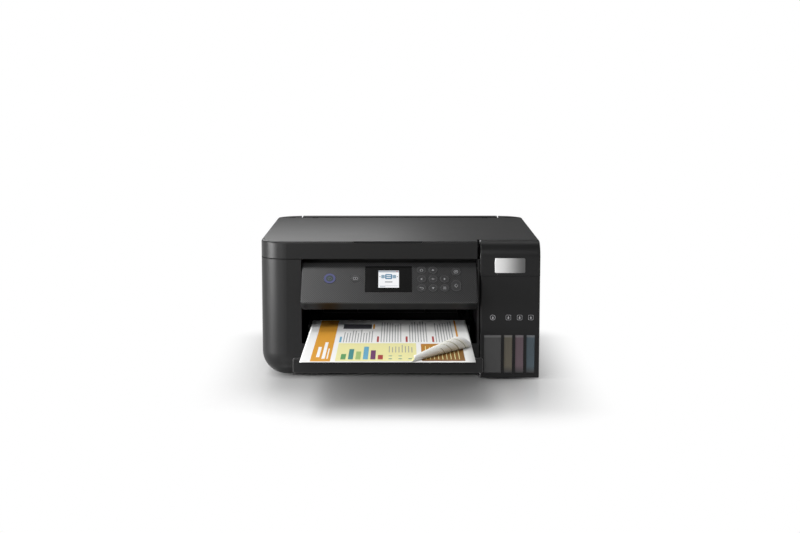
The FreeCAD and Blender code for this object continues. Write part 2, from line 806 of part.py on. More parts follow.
# Document cover
def make_document_cover():
    bottom = frame_top + d.fit_gap
    inset = d.band_depth + d.cover_gap
    corner_end = behind(d.corner_round + d.band_return + d.cover_gap)
    shroud_rear = behind(d.shroud_depth + d.shroud_gap)
    rear_edge = behind(d.cover_rear)
    end = d.band_end + d.cover_gap
    cover = prism(
        "cover_shell", "XY", (bottom, d.body_height),
        [
            (left_side + inset, behind(inset)), (end, behind(inset)), (end, shroud_rear),
            (right_side, shroud_rear), (right_side, rear_edge), (left_side, rear_edge),
            (left_side, corner_end), (left_side + inset, corner_end),
        ],
    )

    def front_corner(edge, box):
        middle = edge.valueAt((edge.FirstParameter + edge.LastParameter) / 2)
        near_left = middle.x < box.XMin + box.XLength / 4
        return upright(edge, "z") and near_left and at(edge, box, y="low")

    def outer_top(edge, box):
        if not at(edge, box, z="high"):
            return False
        sides = [at(edge, box, x="low"), at(edge, box, x="high"), at(edge, box, y="high")]
        return any(sides)

    round_off(cover, d.corner_round - inset, front_corner)
    round_off(cover, d.edge_round, outer_top)
    margin = d.mat_margin + d.wall
    add_prism(
        cover, "Pocket", "XY", (bottom, d.body_height - d.wall),
        rectangle(
            (-d.bed_left - margin, d.bed_width - d.bed_left + margin),
            (behind(d.bed_front - margin), behind(d.bed_front + d.bed_depth + margin)),
        ),
    )
    axis_depth = behind(d.cover_axis_depth)
    room = d.cover_knuckle + 2 * d.cover_gap
    cuts = [block(
        "rear_rebate", (left_side - d.wall, right_side + d.wall),
        (axis_depth - d.hinge_pin / 2, rear_edge + d.wall), (bottom - d.wall, bottom + d.rebate),
    )]
    pins = []
    for side in (-1, 1):
        across = side * d.knuckle_across
        half_slot = d.knuckle_width / 2 + d.cover_gap
        cuts.append(block(
            "knuckle_slot", (across - half_slot, across + half_slot),
            (axis_depth - room, rear_edge + d.wall), (bottom - d.wall, d.body_height + d.wall),
        ))
        pins.append(rod(
            "cover_pin", "x", (axis_depth, cover_axis_height),
            (across - d.knuckle_width, across + d.knuckle_width), d.hinge_pin,
        ))
    return fuse("document_cover", cut("cover_slotted", cover, *cuts), *pins)


def make_document_mat():
    glass_top = frame_top - d.wall
    across = (-d.bed_left + d.mat_margin, d.bed_width - d.bed_left - d.mat_margin)
    depth = (
        behind(d.bed_front + d.mat_margin),
        behind(d.bed_front + d.bed_depth - d.mat_margin),
    )
    return block("document_mat", across, depth, (glass_top + d.mat_lift, d.body_height - d.wall))


# Control panel, drawn upright about its pivot and then tilted
def tilt_panel(item):
    item.Placement = FreeCAD.Placement(
        FreeCAD.Vector(), FreeCAD.Rotation(FreeCAD.Vector(1, 0, 0), -d.panel_tilt.value)
    )
    item.setExpression("Placement.Rotation.Angle", "-%s * 1 deg" % d.panel_tilt.text)
    place(item, 0, behind(d.pivot_depth), pivot_height)
    return item


panel_span = (opening_centre - d.panel_width / 2, opening_centre + d.panel_width / 2)
panel_rows = (d.panel_top - d.panel_length, d.panel_top)
round_buttons = [
    ("power_button", d.power_across, d.side_drop, d.power_radius),
    ("help_key", d.help_across, d.side_drop, d.help_radius),
    ("stop_key", d.start_across, d.stop_drop, d.stop_radius),
]
key_names = [
    ("home_key", 0, 0), ("up_key", 1, 0),
    ("left_key", 0, 1), ("select_key", 1, 1), ("right_key", 2, 1),
    ("back_key", 0, 2), ("down_key", 1, 2), ("options_key", 2, 2),
]
for key, column, row in key_names:
    across = d.key_across + column * d.column_step
    drop = d.key_drop + row * d.row_step
    round_buttons.append((key, across, drop, d.key_radius))


def start_key_outline(gap):
    half = d.start_width / 2 + gap
    middle = opening_centre + d.start_across
    level = d.panel_top - d.start_drop
    return rectangle(
        (middle - half, middle + half),
        (level - d.start_length / 2 - gap, level + d.start_length / 2 + gap),
    )


def start_key_corner(gap):
    """Test for the four corner edges of the start key or of its hole."""
    spots = [(a.value, b.value) for a, b in start_key_outline(gap)]

    def test(edge, box):
        middle = edge.valueAt((edge.FirstParameter + edge.LastParameter) / 2)
        near = [math.hypot(middle.x - a, middle.z - b) < touching for a, b in spots]
        return upright(edge, "y") and any(near)

    return test


def make_panel_fascia():
    body = new_body("panel_fascia")
    face = -d.panel_face
    add_prism(body, "Pad", "XZ", (face, face + d.fascia), rectangle(panel_span, panel_rows))
    round_off(body, d.panel_corner, lambda e, b: upright(e, "y") and at(e, b, z="low"))
    round_off(
        body, d.lip_edge,
        lambda e, b: at(e, b, y="low") and not at(e, b, z="high"),
    )
    seat_left = opening_centre - d.display_left - d.running_gap
    seat_top = d.panel_top - d.display_drop + d.running_gap
    seat_width = d.display_width + 2 * d.running_gap
    seat_length = d.display_length + 2 * d.running_gap
    add_prism(
        body, "Pocket", "XZ", (face, face + d.display_seat),
        rectangle((seat_left, seat_left + seat_width), (seat_top - seat_length, seat_top)),
    )
    holes = new_sketch(body, "XZ", face)
    for name, across, drop, radius in round_buttons:
        draw_circle(holes, opening_centre + across, d.panel_top - drop, radius + d.button_gap)
    extrude(body, "Pocket", holes, d.panel_thickness)
    add_prism(
        body, "Pocket", "XZ", (face, face + d.panel_thickness), start_key_outline(d.button_gap)
    )
    round_off(body, d.start_round + d.button_gap, start_key_corner(d.button_gap))
    return tilt_panel(body)


def make_panel_back():
    body = new_body("panel_back")
    start = d.fascia - d.panel_face
    end = d.panel_thickness - d.panel_face
    add_prism(body, "Pad", "XZ", (start, end), rectangle(panel_span, panel_rows))
    round_off(body, d.panel_corner, lambda e, b: upright(e, "y") and at(e, b, z="low"))
    hollow(body, d.wall, "y", "low")
    left_stub = new_sketch(body, "YZ", -d.opening_left - d.wall)
    draw_circle(left_stub, 0, 0, d.pivot_radius)
    extrude(body, "Pad", left_stub, panel_span[0] + d.opening_left + d.wall)
    right_stub = new_sketch(body, "YZ", panel_span[1])
    draw_circle(right_stub, 0, 0, d.pivot_radius)
    extrude(body, "Pad", right_stub, d.bay_left - panel_span[1])
    return tilt_panel(body)


def make_display_window():
    left = opening_centre - d.display_left
    top = d.panel_top - d.display_drop
    seat = d.display_seat - d.panel_face
    body = prism(
        "display_window", "XZ", (seat - d.display_thickness, seat),
        rectangle((left, left + d.display_width), (top - d.display_length, top)),
    )
    return tilt_panel(body)


def make_buttons():
    start = -d.panel_face - d.button_proud
    buttons = []
    for name, across, drop, radius in round_buttons:
        body = new_body(name)
        sketch = new_sketch(body, "XZ", start)
        draw_circle(sketch, opening_centre + across, d.panel_top - drop, radius)
        extrude(body, "Pad", sketch, d.button_depth)
        buttons.append(tilt_panel(body))
    start_key = prism("start_key", "XZ", (start, start + d.button_depth), start_key_outline(0))
    round_off(start_key, d.start_round, start_key_corner(0))
    buttons.append(tilt_panel(start_key))
    return buttons


# Output tray in two stages, its rails and the printed sheet
leaf_top = d.sheet_height - d.tray_gap
leaf_bottom = leaf_top - d.leaf_thickness
tray_top = leaf_bottom - d.tray_gap
tray_bottom = tray_top - d.tray_floor
leaf_half = d.leaf_width / 2
tongue_half = leaf_half + d.tongue_width
channel_half = tongue_half + d.tray_gap
tray_half = channel_half + d.tray_side
flange_half = tray_half + d.flange_width
lip_front = front - 2 * d.tray_travel
tray_front = behind(d.lip_thickness + 2 * d.tray_gap) - d.tray_travel


def both_sides(half):
    """Mirror a half outline, given from the bottom middle round to the top middle."""
    right = [(path_centre + a, b) for a, b in half]
    left = [(path_centre - a, b) for a, b in reversed(half)]
    return right + left


def make_tray_extension():
    tongue_top = leaf_bottom + d.tongue_thickness
    leaf = prism(
        "leaf", "XZ", (lip_front, lip_front + d.leaf_length),
        both_sides([
            (tongue_half, leaf_bottom), (tongue_half, tongue_top),
            (leaf_half, tongue_top), (leaf_half, leaf_top),
        ]),
    )
    half_lip = d.lip_width / 2
    lip = prism(
        "tray_lip", "XZ", (lip_front, lip_front + d.lip_thickness),
        rectangle(
            (path_centre - half_lip, path_centre + half_lip),
            (leaf_top - d.lip_height, leaf_top),
        ),
    )
    round_off(lip, d.edge_round, lambda e, b: upright(e, "y"))
    round_off(lip, d.lip_edge, lambda e, b: at(e, b, y="low"))
    return fuse("tray_extension", leaf, lip)


def make_output_tray():
    groove_top = leaf_bottom + d.tongue_thickness + d.tray_gap
    return prism(
        "output_tray", "XZ", (tray_front, tray_front + d.tray_length),
        both_sides([
            (flange_half, tray_bottom), (flange_half, tray_bottom + d.flange_thickness),
            (tray_half, tray_bottom + d.flange_thickness), (tray_half, leaf_top),
            (leaf_half + d.tray_gap, leaf_top), (leaf_half + d.tray_gap, groove_top),
            (channel_half, groove_top), (channel_half, tray_top),
        ]),
    )


def make_tray_rails():
    ledge_top = tray_bottom - d.tray_gap
    web = flange_half + d.tray_gap
    outer = web + d.rail_wall
    inner = web - d.rail_ledge
    keeper_bottom = tray_bottom + d.flange_thickness + d.tray_gap
    keeper_top = keeper_bottom + d.flange_thickness
    profile = [
        (inner, ledge_top), (inner, ledge_top - d.tray_floor),
        (web, ledge_top - d.tray_floor), (web, floor), (outer, floor), (outer, keeper_top),
        (tray_half + d.tray_gap, keeper_top), (tray_half + d.tray_gap, keeper_bottom),
        (web, keeper_bottom), (web, ledge_top),
    ]
    rails = []
    for side in (-1, 1):
        corners = [(path_centre + side * a, b) for a, b in profile]
        span = (behind(d.rail_start), behind(d.rail_end))
        rails.append(prism("tray_rail", "XZ", span, corners))
    return group("tray_rails", *rails)


def make_printed_sheet():
    start = front - d.print_reach
    return block(
        "printed_sheet",
        (path_centre - d.sheet_width / 2, path_centre + d.sheet_width / 2),
        (start, start + d.sheet_length), (d.sheet_height, d.sheet_height + d.sheet_thickness),
    )


# Rear deck, paper support and rear feeder
lean_sine = sine(d.feed_lean)
lean_cosine = cosine(d.feed_lean)
hopper_height = seam_height - d.hopper_drop
hopper_length = (hopper_height - d.guide_floor - d.hopper_foot) / lean_cosine
support_length = hopper_length + d.support_foot
cheek_top = tub_bottom - d.cheek_drop


def on_hopper(along, out):
    """Point in the side view: a distance down the hopper and out from its front surface."""
    depth = behind(d.hopper_depth) - along * lean_sine - out * lean_cosine
    height = hopper_height - along * lean_cosine + out * lean_sine
    return depth, height


def hopper_strip(along, out):
    return [
        on_hopper(along[0], out[0]), on_hopper(along[1], out[0]),
        on_hopper(along[1], out[1]), on_hopper(along[0], out[1]),
    ]


def make_rear_deck():
    deck_outline = prism(
        "deck_outline", "XY", (case_top, d.body_height - d.post_drop),
        rectangle((left_side, right_side), (front, rear)),
    )
    round_off(
        deck_outline, d.corner_round, lambda e, b: upright(e, "z") and at(e, b, y="high")
    )
    rear_zone = block(
        "rear_zone", (left_side - d.wall, right_side + d.wall),
        (behind(d.deck_front), rear + d.wall), (case_top - d.wall, d.body_height),
    )
    blank = common("deck_blank", deck_outline, rear_zone)
    recess = block(
        "support_recess", (-post_inner, post_inner),
        (front, rear + d.wall), (recess_height, d.body_height + d.wall),
    )
    half_slot = d.support_width / 2 + d.tray_gap + d.wall
    slot = block(
        "feed_slot", (path_centre - half_slot, path_centre + half_slot),
        (behind(d.slot_front), behind(d.slot_rear)), (case_top - d.wall, d.body_height),
    )
    axis_depth = behind(d.scanner_axis_depth)
    cuts = [recess, slot]
    lugs = []
    for side in (-1, 1):
        across = side * scanner_arm
        half_room = d.arm_width / 2 + d.fit_gap
        cuts.append(block(
            "arm_room", (across - half_room, across + half_room),
            (front, axis_depth + 2 * d.hinge_knuckle), (case_top - d.wall, d.body_height),
        ))
        for flank in (-1, 1):
            inner = across + flank * half_room
            outer = inner + flank * d.lug_width
            span = (inner, outer) if flank > 0 else (outer, inner)
            lugs.append(rod(
                "hinge_lug", "x", (axis_depth, scanner_axis_height), span, d.hinge_knuckle
            ))
            lugs.append(block(
                "lug_web", span, (axis_depth, behind(d.deck_front) + d.wall),
                (scanner_axis_height - d.hinge_knuckle, scanner_axis_height + d.hinge_knuckle),
            ))
        half_pin = half_room + d.lug_width
        lugs.append(rod(
            "scanner_pin", "x", (axis_depth, scanner_axis_height),
            (across - half_pin, across + half_pin), d.hinge_pin,
        ))
    return fuse("rear_deck", cut("deck_cut", blank, *cuts), *lugs)


def make_paper_support():
    """Sliding support plate behind the hopper with the cap that closes the feed slot."""
    half_cap = post_inner - d.support_gap
    cap_bottom = recess_height + d.fit_gap
    cap = prism(
        "support_cap", "XY", (cap_bottom, d.body_height),
        rectangle((-half_cap, half_cap), (behind(d.support_front), rear)),
    )
    round_off(cap, d.edge_round, lambda e, b: at(e, b, z="high", y="high"))
    out_front = -d.hopper_thickness - d.fit_gap
    out_rear = out_front - d.support_thickness
    top_along = (hopper_height - cap_bottom + out_front * lean_sine) / lean_cosine - d.wall
    plate = prism(
        "support_plate", "YZ",
        (path_centre - d.support_width / 2, path_centre + d.support_width / 2),
        hopper_strip((top_along, top_along + support_length), (out_front, out_rear)),
    )
    return fuse("paper_support", cap, plate)


pick_depth, pick_height = on_hopper(d.pick_along, d.pick_radius + d.pick_gap)
feeder_span = (path_centre - d.feeder_half, path_centre + d.feeder_half)


def make_rear_feeder():
    hopper = prism(
        "hopper", "YZ", feeder_span, hopper_strip((0, hopper_length), (0, -d.hopper_thickness))
    )
    guide_rear = behind(d.hopper_depth) - hopper_length * lean_sine
    guide = block(
        "paper_guide", feeder_span, (behind(d.guide_front), guide_rear + d.hopper_thickness),
        (d.guide_floor, d.guide_floor + d.cheek),
    )
    chute_front = on_hopper(hopper_length, -d.hopper_thickness)
    chute = block(
        "chute", feeder_span,
        (guide_rear - d.hopper_thickness, chute_front[0] + d.hopper_thickness),
        (d.guide_floor, on_hopper(hopper_length - d.cheek, 0)[1]),
    )
    cheek_corners = [
        (behind(d.cheek_front), floor), (behind(d.cheek_rear), floor),
        (behind(d.hopper_depth + d.hopper_thickness), hopper_height),
        (behind(d.tub_rear + 2 * d.wall), hopper_height),
        (behind(d.tub_rear), tub_bottom - d.wall), (behind(d.cheek_front), cheek_top),
    ]
    cheeks = []
    for start in (feeder_span[0] - d.cheek, feeder_span[1]):
        cheeks.append(prism("cheek", "YZ", (start, start + d.cheek), cheek_corners))
    solid = fuse("feeder_solid", hopper, guide, chute, *cheeks)
    bore = rod(
        "pick_bore", "x", (pick_depth, pick_height),
        (feeder_span[0] - 2 * d.cheek, feeder_span[1] + 2 * d.cheek),
        d.pick_shaft + d.running_gap,
    )
    return cut("rear_feeder", solid, bore)


def make_pick_roller():
    at_axis = (pick_depth, pick_height)
    shaft = rod(
        "pick_bar", "x", at_axis, (feeder_span[0] - d.cheek, feeder_span[1] + d.cheek), d.pick_shaft
    )
    tyre = rod(
        "pick_tyre", "x", at_axis,
        (path_centre - d.pick_width / 2, path_centre + d.pick_width / 2), d.pick_radius,
    )
    return fuse("pick_roller", shaft, tyre)


def make_edge_guide(label, side):
    """Edge guide of the rear feed: a fin beside the sheet on a flat foot."""
    edge = path_centre + side * (d.sheet_width / 2 + d.fit_gap)
    fin = edge + side * d.edge_guide_plate
    foot = edge - side * d.edge_guide_foot
    along = (d.edge_guide_start, d.edge_guide_end)
    fin_span = (edge, fin) if side > 0 else (fin, edge)
    foot_span = (foot, fin) if side > 0 else (fin, foot)
    upright_fin = prism(
        label + "_fin", "YZ", fin_span, hopper_strip(along, (d.edge_guide_reach, d.fit_gap))
    )
    flat_foot = prism(
        label + "_foot", "YZ", foot_span,
        hopper_strip(along, (d.fit_gap + d.edge_guide_plate, d.fit_gap)),
    )
    return fuse(label, upright_fin, flat_foot)


def make_rear_cover():
    across = (d.fit_gap - cover_left, d.cover_right - d.fit_gap)
    height = (d.cover_bottom + d.fit_gap, d.cover_top - d.fit_gap)
    plate = block("cover_panel", across, (rear - d.cover_plate, rear), height)
    ribs = []
    step = (across[1] - across[0] - d.rib_width) / (d.cover_ribs - 1)
    for number in range(int(d.cover_ribs.value)):
        start = across[0] + number * step
        ribs.append(block(
            "cover_rib", (start, start + d.rib_width),
            (rear - d.rib_reach, rear - d.cover_plate), (height[0] + d.wall, height[1] - d.wall),
        ))
    return fuse("rear_cover", plate, *ribs)


def make_power_inlet():
    left = -inlet_left
    outside = block(
        "inlet_block", (left, left + d.inlet_width), (rear - d.inlet_length, rear),
        (d.inlet_bottom, d.inlet_bottom + d.inlet_height),
    )
    socket = block(
        "inlet_socket", (left + d.socket_wall, left + d.inlet_width - d.socket_wall),
        (rear - d.socket_depth, rear + d.wall),
        (d.inlet_bottom + d.socket_wall, d.inlet_bottom + d.inlet_height - d.socket_wall),
    )
    return cut("power_inlet", outside, socket)


# Print mechanism
left_plate = (-d.plate_left - d.metal, -d.plate_left)
right_plate = (d.plate_right, d.plate_right + d.metal)
feed_axis = (behind(d.feed_depth), d.roller_height)
exit_axis = (behind(d.exit_depth), d.roller_height)
idler_axis = (behind((d.feed_depth + d.exit_depth) / 2), d.roller_height)
pinion_distance = d.gear_module * (d.feed_teeth + d.pinion_teeth) / 2
pinion_axis = (
    feed_axis[0] + pinion_distance * cosine(d.pinion_angle),
    feed_axis[1] + pinion_distance * sine(d.pinion_angle),
)
gear_span = (left_plate[0] - d.gear_offset - d.gear_width, left_plate[0] - d.gear_offset)
belt_centre = behind(d.belt_front) + d.belt_width / 2
pulley_depth = (belt_centre - d.pulley_width / 2, belt_centre + d.pulley_width / 2)
back_plate = (behind(d.back_depth), behind(d.back_depth) + d.metal)


def make_chassis():
    across = (left_plate[0], right_plate[1])
    back = block("back_sheet", across, back_plate, (d.back_bottom, back_top))
    flange = block(
        "guide_flange", across, (behind(d.flange_front), back_plate[1]),
        (back_top - d.metal, back_top),
    )
    sides = []
    for span in (left_plate, right_plate):
        sides.append(block(
            "side_sheet", span, (behind(d.plate_front), back_plate[1]), (floor, back_top)
        ))
    stud = rod("idler_stud", "x", idler_axis, (gear_span[0], left_plate[1]), d.idler_stud)
    pin = rod(
        "idler_pin", "y", (d.idler_across, belt_height),
        (pulley_depth[0], back_plate[1]), d.idler_pin,
    )
    solid = fuse("chassis_solid", back, flange, stud, pin, *sides)
    through = (left_plate[0] - d.wall, right_plate[1] + d.wall)
    bores = [
        rod("feed_bore", "x", feed_axis, through, d.feed_radius + d.running_gap),
        rod("exit_bore", "x", exit_axis, through, d.exit_shaft + d.running_gap),
        rod(
            "pinion_bore", "x", pinion_axis,
            (left_plate[0] - d.wall, left_plate[1] + d.wall), d.motor_shaft + d.running_gap,
        ),
        rod(
            "drive_bore", "y", (d.drive_across, belt_height),
            (back_plate[0] - d.wall, back_plate[1] + d.wall), d.motor_shaft + d.running_gap,
        ),
    ]
    return cut("chassis_frame", solid, *bores)


def make_platen():
    depth = (behind(d.platen_front), behind(d.platen_rear))
    across = (-d.plate_left, d.platen_right)
    bed = block("platen_bed", across, depth, (d.platen_bottom, d.platen_top))
    ribs = []
    step = (across[1] - across[0] - d.platen_rib) / (d.platen_ribs - 1)
    for number in range(int(d.platen_ribs.value)):
        start = across[0] + number * step
        ribs.append(block(
            "platen_ridge", (start, start + d.platen_rib), depth,
            (d.platen_top, d.platen_top + d.platen_rib),
        ))
    return fuse("platen", bed, *ribs)


def make_cap_station():
    depth = (behind(d.platen_front), behind(d.platen_rear))
    tray = block(
        "station_block", (d.station_left, d.plate_right), depth, (d.platen_bottom, d.station_top)
    )
    well = block(
        "station_well", (d.station_left + d.station_wall, d.plate_right - d.station_wall),
        (depth[0] + d.station_wall, depth[1] - d.station_wall),
        (d.station_top - d.station_wall, d.body_height),
    )
    return cut("cap_station", tray, well)


def gear_outline(teeth, phase):
    """Points of an involute gear with a tooth centred on the phase angle."""
    module = d.gear_module.value
    pitch = module * teeth / 2
    base = pitch * math.cos(math.radians(d.pressure_angle.value))
    tip = pitch + d.tooth_tip.value * module
    root = pitch - d.tooth_root.value * module
    play = d.tooth_play.value / pitch / 2
    half_tooth = math.pi / teeth / 2 - play

    def roll(radius):
        pressure = math.acos(min(1, base / radius))
        return math.tan(pressure) - pressure

    steps = int(d.flank_steps.value)
    inside = max(base, root)
    radii = [inside + (tip - inside) * step / steps for step in range(steps + 1)]
    flank = [(radius, half_tooth + roll(pitch) - roll(radius)) for radius in radii]
    points = []
    for tooth in range(teeth):
        centre = phase + 2 * math.pi * tooth / teeth
        side = [(root, flank[0][1])] + flank
        for radius, angle in side:
            points.append((radius, centre - angle))
        for radius, angle in reversed(side):
            points.append((radius, centre + angle))
    corners = [FreeCAD.Vector(0, r * math.cos(a), r * math.sin(a)) for r, a in points]
    return Part.makePolygon(corners + corners[:1])


def make_gear(label, teeth, phase, axis):
    """A toothed wheel on an axis that runs from left to right."""
    gear = doc.addObject("Part::Feature", label)
    face = Part.Face(gear_outline(int(teeth.value), phase))
    gear.Shape = face.extrude(FreeCAD.Vector(d.gear_width.value, 0, 0))
    place(gear, gear_span[0], *axis)
    return gear


idler_phase = math.pi / d.idler_teeth.value
exit_phase = math.pi / d.feed_teeth.value


def pinion_phase():
    """Angle of the pinion's tooth that leaves a gap for the feed gear's nearest tooth."""
    angle = math.radians(d.pinion_angle.value)
    pitch_angle = 2 * math.pi / d.feed_teeth.value
    nearest = math.pi + pitch_angle * round((angle - math.pi) / pitch_angle)
    gap = angle + math.pi - (nearest - angle) * d.feed_teeth.value / d.pinion_teeth.value
    return gap + math.pi / d.pinion_teeth.value


def make_feed_roller():
    shaft = rod(
        "feed_bar", "x", feed_axis, (gear_span[0], right_plate[1] + d.gear_offset), d.feed_radius
    )
    return fuse("feed_roller", shaft, make_gear("feed_gear", d.feed_teeth, math.pi, feed_axis))


def make_exit_roller():
    shaft = rod(
        "exit_bar", "x", exit_axis, (gear_span[0], right_plate[1] + d.gear_offset), d.exit_shaft
    )
    tyres = []
    step = d.exit_spread / (d.exit_tyres - 1)
    for number in range(int(d.exit_tyres.value)):
        start = path_centre - d.exit_spread / 2 + number * step - d.exit_tyre_width / 2
        span = (start, start + d.exit_tyre_width)
        tyres.append(rod("exit_ring", "x", exit_axis, span, d.exit_tyre))
    gear = make_gear("exit_gear", d.feed_teeth, exit_phase, exit_axis)
    return fuse("exit_roller", shaft, gear, *tyres)


def make_idler_gear():
    wheel = make_gear("idler_wheel", d.idler_teeth, idler_phase, idler_axis)
    bore = rod(
        "idler_bore", "x", idler_axis, (gear_span[0] - d.wall, gear_span[1] + d.wall),
        d.idler_stud + d.running_gap,
    )
    return cut("idler_gear", wheel, bore)


def make_pinion():
    wheel = make_gear("pinion_wheel", d.pinion_teeth, pinion_phase(), pinion_axis)
    shaft = rod(
        "pinion_shaft", "x", pinion_axis,
        (gear_span[0], left_plate[1] + d.feed_motor_length / 2), d.motor_shaft,
    )
    return fuse("motor_pinion", wheel, shaft)


def make_feed_motor():
    span = (left_plate[1], left_plate[1] + d.feed_motor_length)
    can = rod("feed_motor_can", "x", pinion_axis, span, d.feed_motor_radius)
    bore = rod(
        "feed_motor_bore", "x", pinion_axis,
        (span[0] - d.wall, span[0] + d.feed_motor_length / 2 + d.fit_gap),
        d.motor_shaft + d.running_gap,
    )
    return cut("feed_motor", can, bore)


carriage_top = back_top - d.carriage_drop


def make_carriage():
    across = (d.carriage_home - d.carriage_width / 2, d.carriage_home + d.carriage_width / 2)
    box = block(
        "carriage_box", across, (behind(d.carriage_front), behind(d.carriage_rear)),
        (d.carriage_bottom, carriage_top),
    )
    well = block(
        "carriage_well", (across[0] + d.wall, across[1] - d.wall),
        (behind(d.carriage_front + d.wall), behind(d.hook_front) - d.wall),
        (d.carriage_bottom + d.wall, d.body_height),
    )
    hook_bottom = back_top + d.fit_gap
    riser = block(
        "hook_riser", across, (behind(d.hook_front), behind(d.flange_front - d.fit_gap)),
        (carriage_top - d.wall, hook_bottom + d.hook_height),
    )
    hook = block(
        "hook", across, (behind(d.hook_front), behind(d.hook_rear)),
        (hook_bottom, hook_bottom + d.hook_height),
    )
    run_bottom = belt_height - d.pulley_radius - d.belt_thickness - d.running_gap
    clamp = block(
        "belt_clamp", (d.carriage_home - d.clamp_width / 2, d.carriage_home + d.clamp_width / 2),
        (behind(d.carriage_rear), behind(d.belt_front - d.fit_gap)),
        (run_bottom - d.clamp_reach, run_bottom + d.clamp_reach),
    )
    return fuse("carriage", cut("carriage_tray", box, well), riser, hook, clamp)


def make_print_head():
    half = d.head_width / 2
    return block(
        "print_head", (d.carriage_home - half, d.carriage_home + half),
        (behind(d.head_front), behind(d.head_rear)),
        (d.carriage_bottom - d.head_thickness, d.carriage_bottom),
    )


def belt_loop(label, radius, depth):
    """Solid with the outline of a belt pulled tight round both pulleys."""
    ends = []
    for across in (d.drive_across, d.idler_across):
        ends.append(rod(label + "_end", "y", (across, belt_height), depth, radius))
    run = block(
        label + "_run", (d.drive_across, d.idler_across), depth,
        (belt_height - radius, belt_height + radius),
    )
    return fuse(label, run, *ends)


def make_timing_belt():
    inner = d.pulley_radius + d.running_gap
    depth = (behind(d.belt_front), behind(d.belt_front) + d.belt_width)
    outside = belt_loop("belt_outside", inner + d.belt_thickness, depth)
    inside = belt_loop("belt_inside", inner, (depth[0] - d.wall, depth[1] + d.wall))
    return cut("timing_belt", outside, inside)


def make_drive_pulley():
    at_axis = (d.drive_across, belt_height)
    wheel = rod("drive_wheel", "y", at_axis, pulley_depth, d.pulley_radius)
    shaft_end = back_plate[1] + d.drive_motor_length / 2
    shaft = rod("drive_shaft", "y", at_axis, (pulley_depth[0], shaft_end), d.motor_shaft)
    return fuse("drive_pulley", wheel, shaft)


def make_idler_pulley():
    at_axis = (d.idler_across, belt_height)
    wheel = rod("idler_pulley_wheel", "y", at_axis, pulley_depth, d.pulley_radius)
    bore = rod(
        "idler_pulley_bore", "y", at_axis,
        (pulley_depth[0] - d.wall, pulley_depth[1] + d.wall), d.idler_pin + d.running_gap,
    )
    return cut("idler_pulley", wheel, bore)


def make_carriage_motor():
    at_axis = (d.drive_across, belt_height)
    span = (back_plate[1], back_plate[1] + d.drive_motor_length)
    can = rod("drive_motor_can", "y", at_axis, span, d.drive_motor_radius)
    bore_end = span[0] + d.drive_motor_length / 2 + d.fit_gap
    bore = rod(
        "drive_motor_bore", "y", at_axis, (span[0] - d.wall, bore_end),
        d.motor_shaft + d.running_gap,
    )
    return cut("carriage_motor", can, bore)


# Power supply and main board
def make_power_supply():
    return block(
        "power_supply", (-d.supply_left, -d.supply_right),
        (behind(d.supply_front), behind(d.supply_rear)), (floor, floor + d.supply_height),
    )


def make_main_board():
    """Board on four standoffs with the data socket at its rear edge."""
    board_top = d.board_bottom + d.board_thickness
    board = block(
        "board", (d.board_left, d.board_right), (behind(d.board_front), behind(d.board_rear)),
        (d.board_bottom, board_top),
    )
    stands = []
    for across in (d.board_left + d.stand_inset, d.board_right - d.stand_inset):
        for depth in (d.board_front + d.stand_inset, d.stand_rear):
            stands.append(rod(
                "standoff", "z", (across, behind(depth)), (floor, d.board_bottom), d.stand_radius
            ))
    usb = block(
        "data_socket", (d.usb_left, d.usb_left + d.usb_width), (rear - d.usb_length, rear),
        (board_top, board_top + d.usb_height),
    )
    hole = block(
        "data_socket_hole", (d.usb_left + d.usb_wall, d.usb_left + d.usb_width - d.usb_wall),
        (rear - d.usb_depth, rear + d.wall),
        (board_top + d.usb_wall, board_top + d.usb_height - d.usb_wall),
    )
    return cut("main_board", fuse("board_solid", board, usb, *stands), hole)


subparts = [
    make_lower_case(), make_feet(), make_tank_housing(), make_tank(0),
    group("colour_ink_tanks", make_tank(1), make_tank(2), make_tank(3)),
]
subparts += [make_cap(number) for number in range(len(tank_colours))]
subparts += [
    make_scanner_frame(), make_scanner_tub(), make_scanner_glass(), make_scan_rail(),
    make_scan_bar(), make_tank_shroud(), make_document_cover(), make_document_mat(),
    make_panel_fascia(), make_panel_back(), make_display_window(),
]
subparts += make_buttons()
subparts += [
    make_output_tray(), make_tray_extension(), make_tray_rails(), make_printed_sheet(),
    make_rear_deck(), make_paper_support(), make_rear_feeder(), make_pick_roller(),
    make_edge_guide("edge_guide_left", -1), make_edge_guide("edge_guide_right", 1),
    make_rear_cover(), make_power_inlet(),
    make_chassis(), make_platen(), make_cap_station(), make_feed_roller(), make_exit_roller(),
    make_idler_gear(), make_pinion(), make_feed_motor(), make_carriage(), make_print_head(),
    make_timing_belt(), make_drive_pulley(), make_idler_pulley(), make_carriage_motor(),
    make_power_supply(), make_main_board(),
]
doc.recompute()

# Check every object, then write one file for each sub-part
for item in doc.Objects:
    if "Invalid" in item.State or "Error" in item.State:
        raise RuntimeError("%s failed to build" % item.Label)
os.makedirs("parts", exist_ok=True)
for item in subparts:
    if item.Shape.isNull() or not item.Shape.isValid():
        raise RuntimeError("%s has no valid shape" % item.Label)
    item.Shape.exportStep("parts/%s.step" % item.Label)
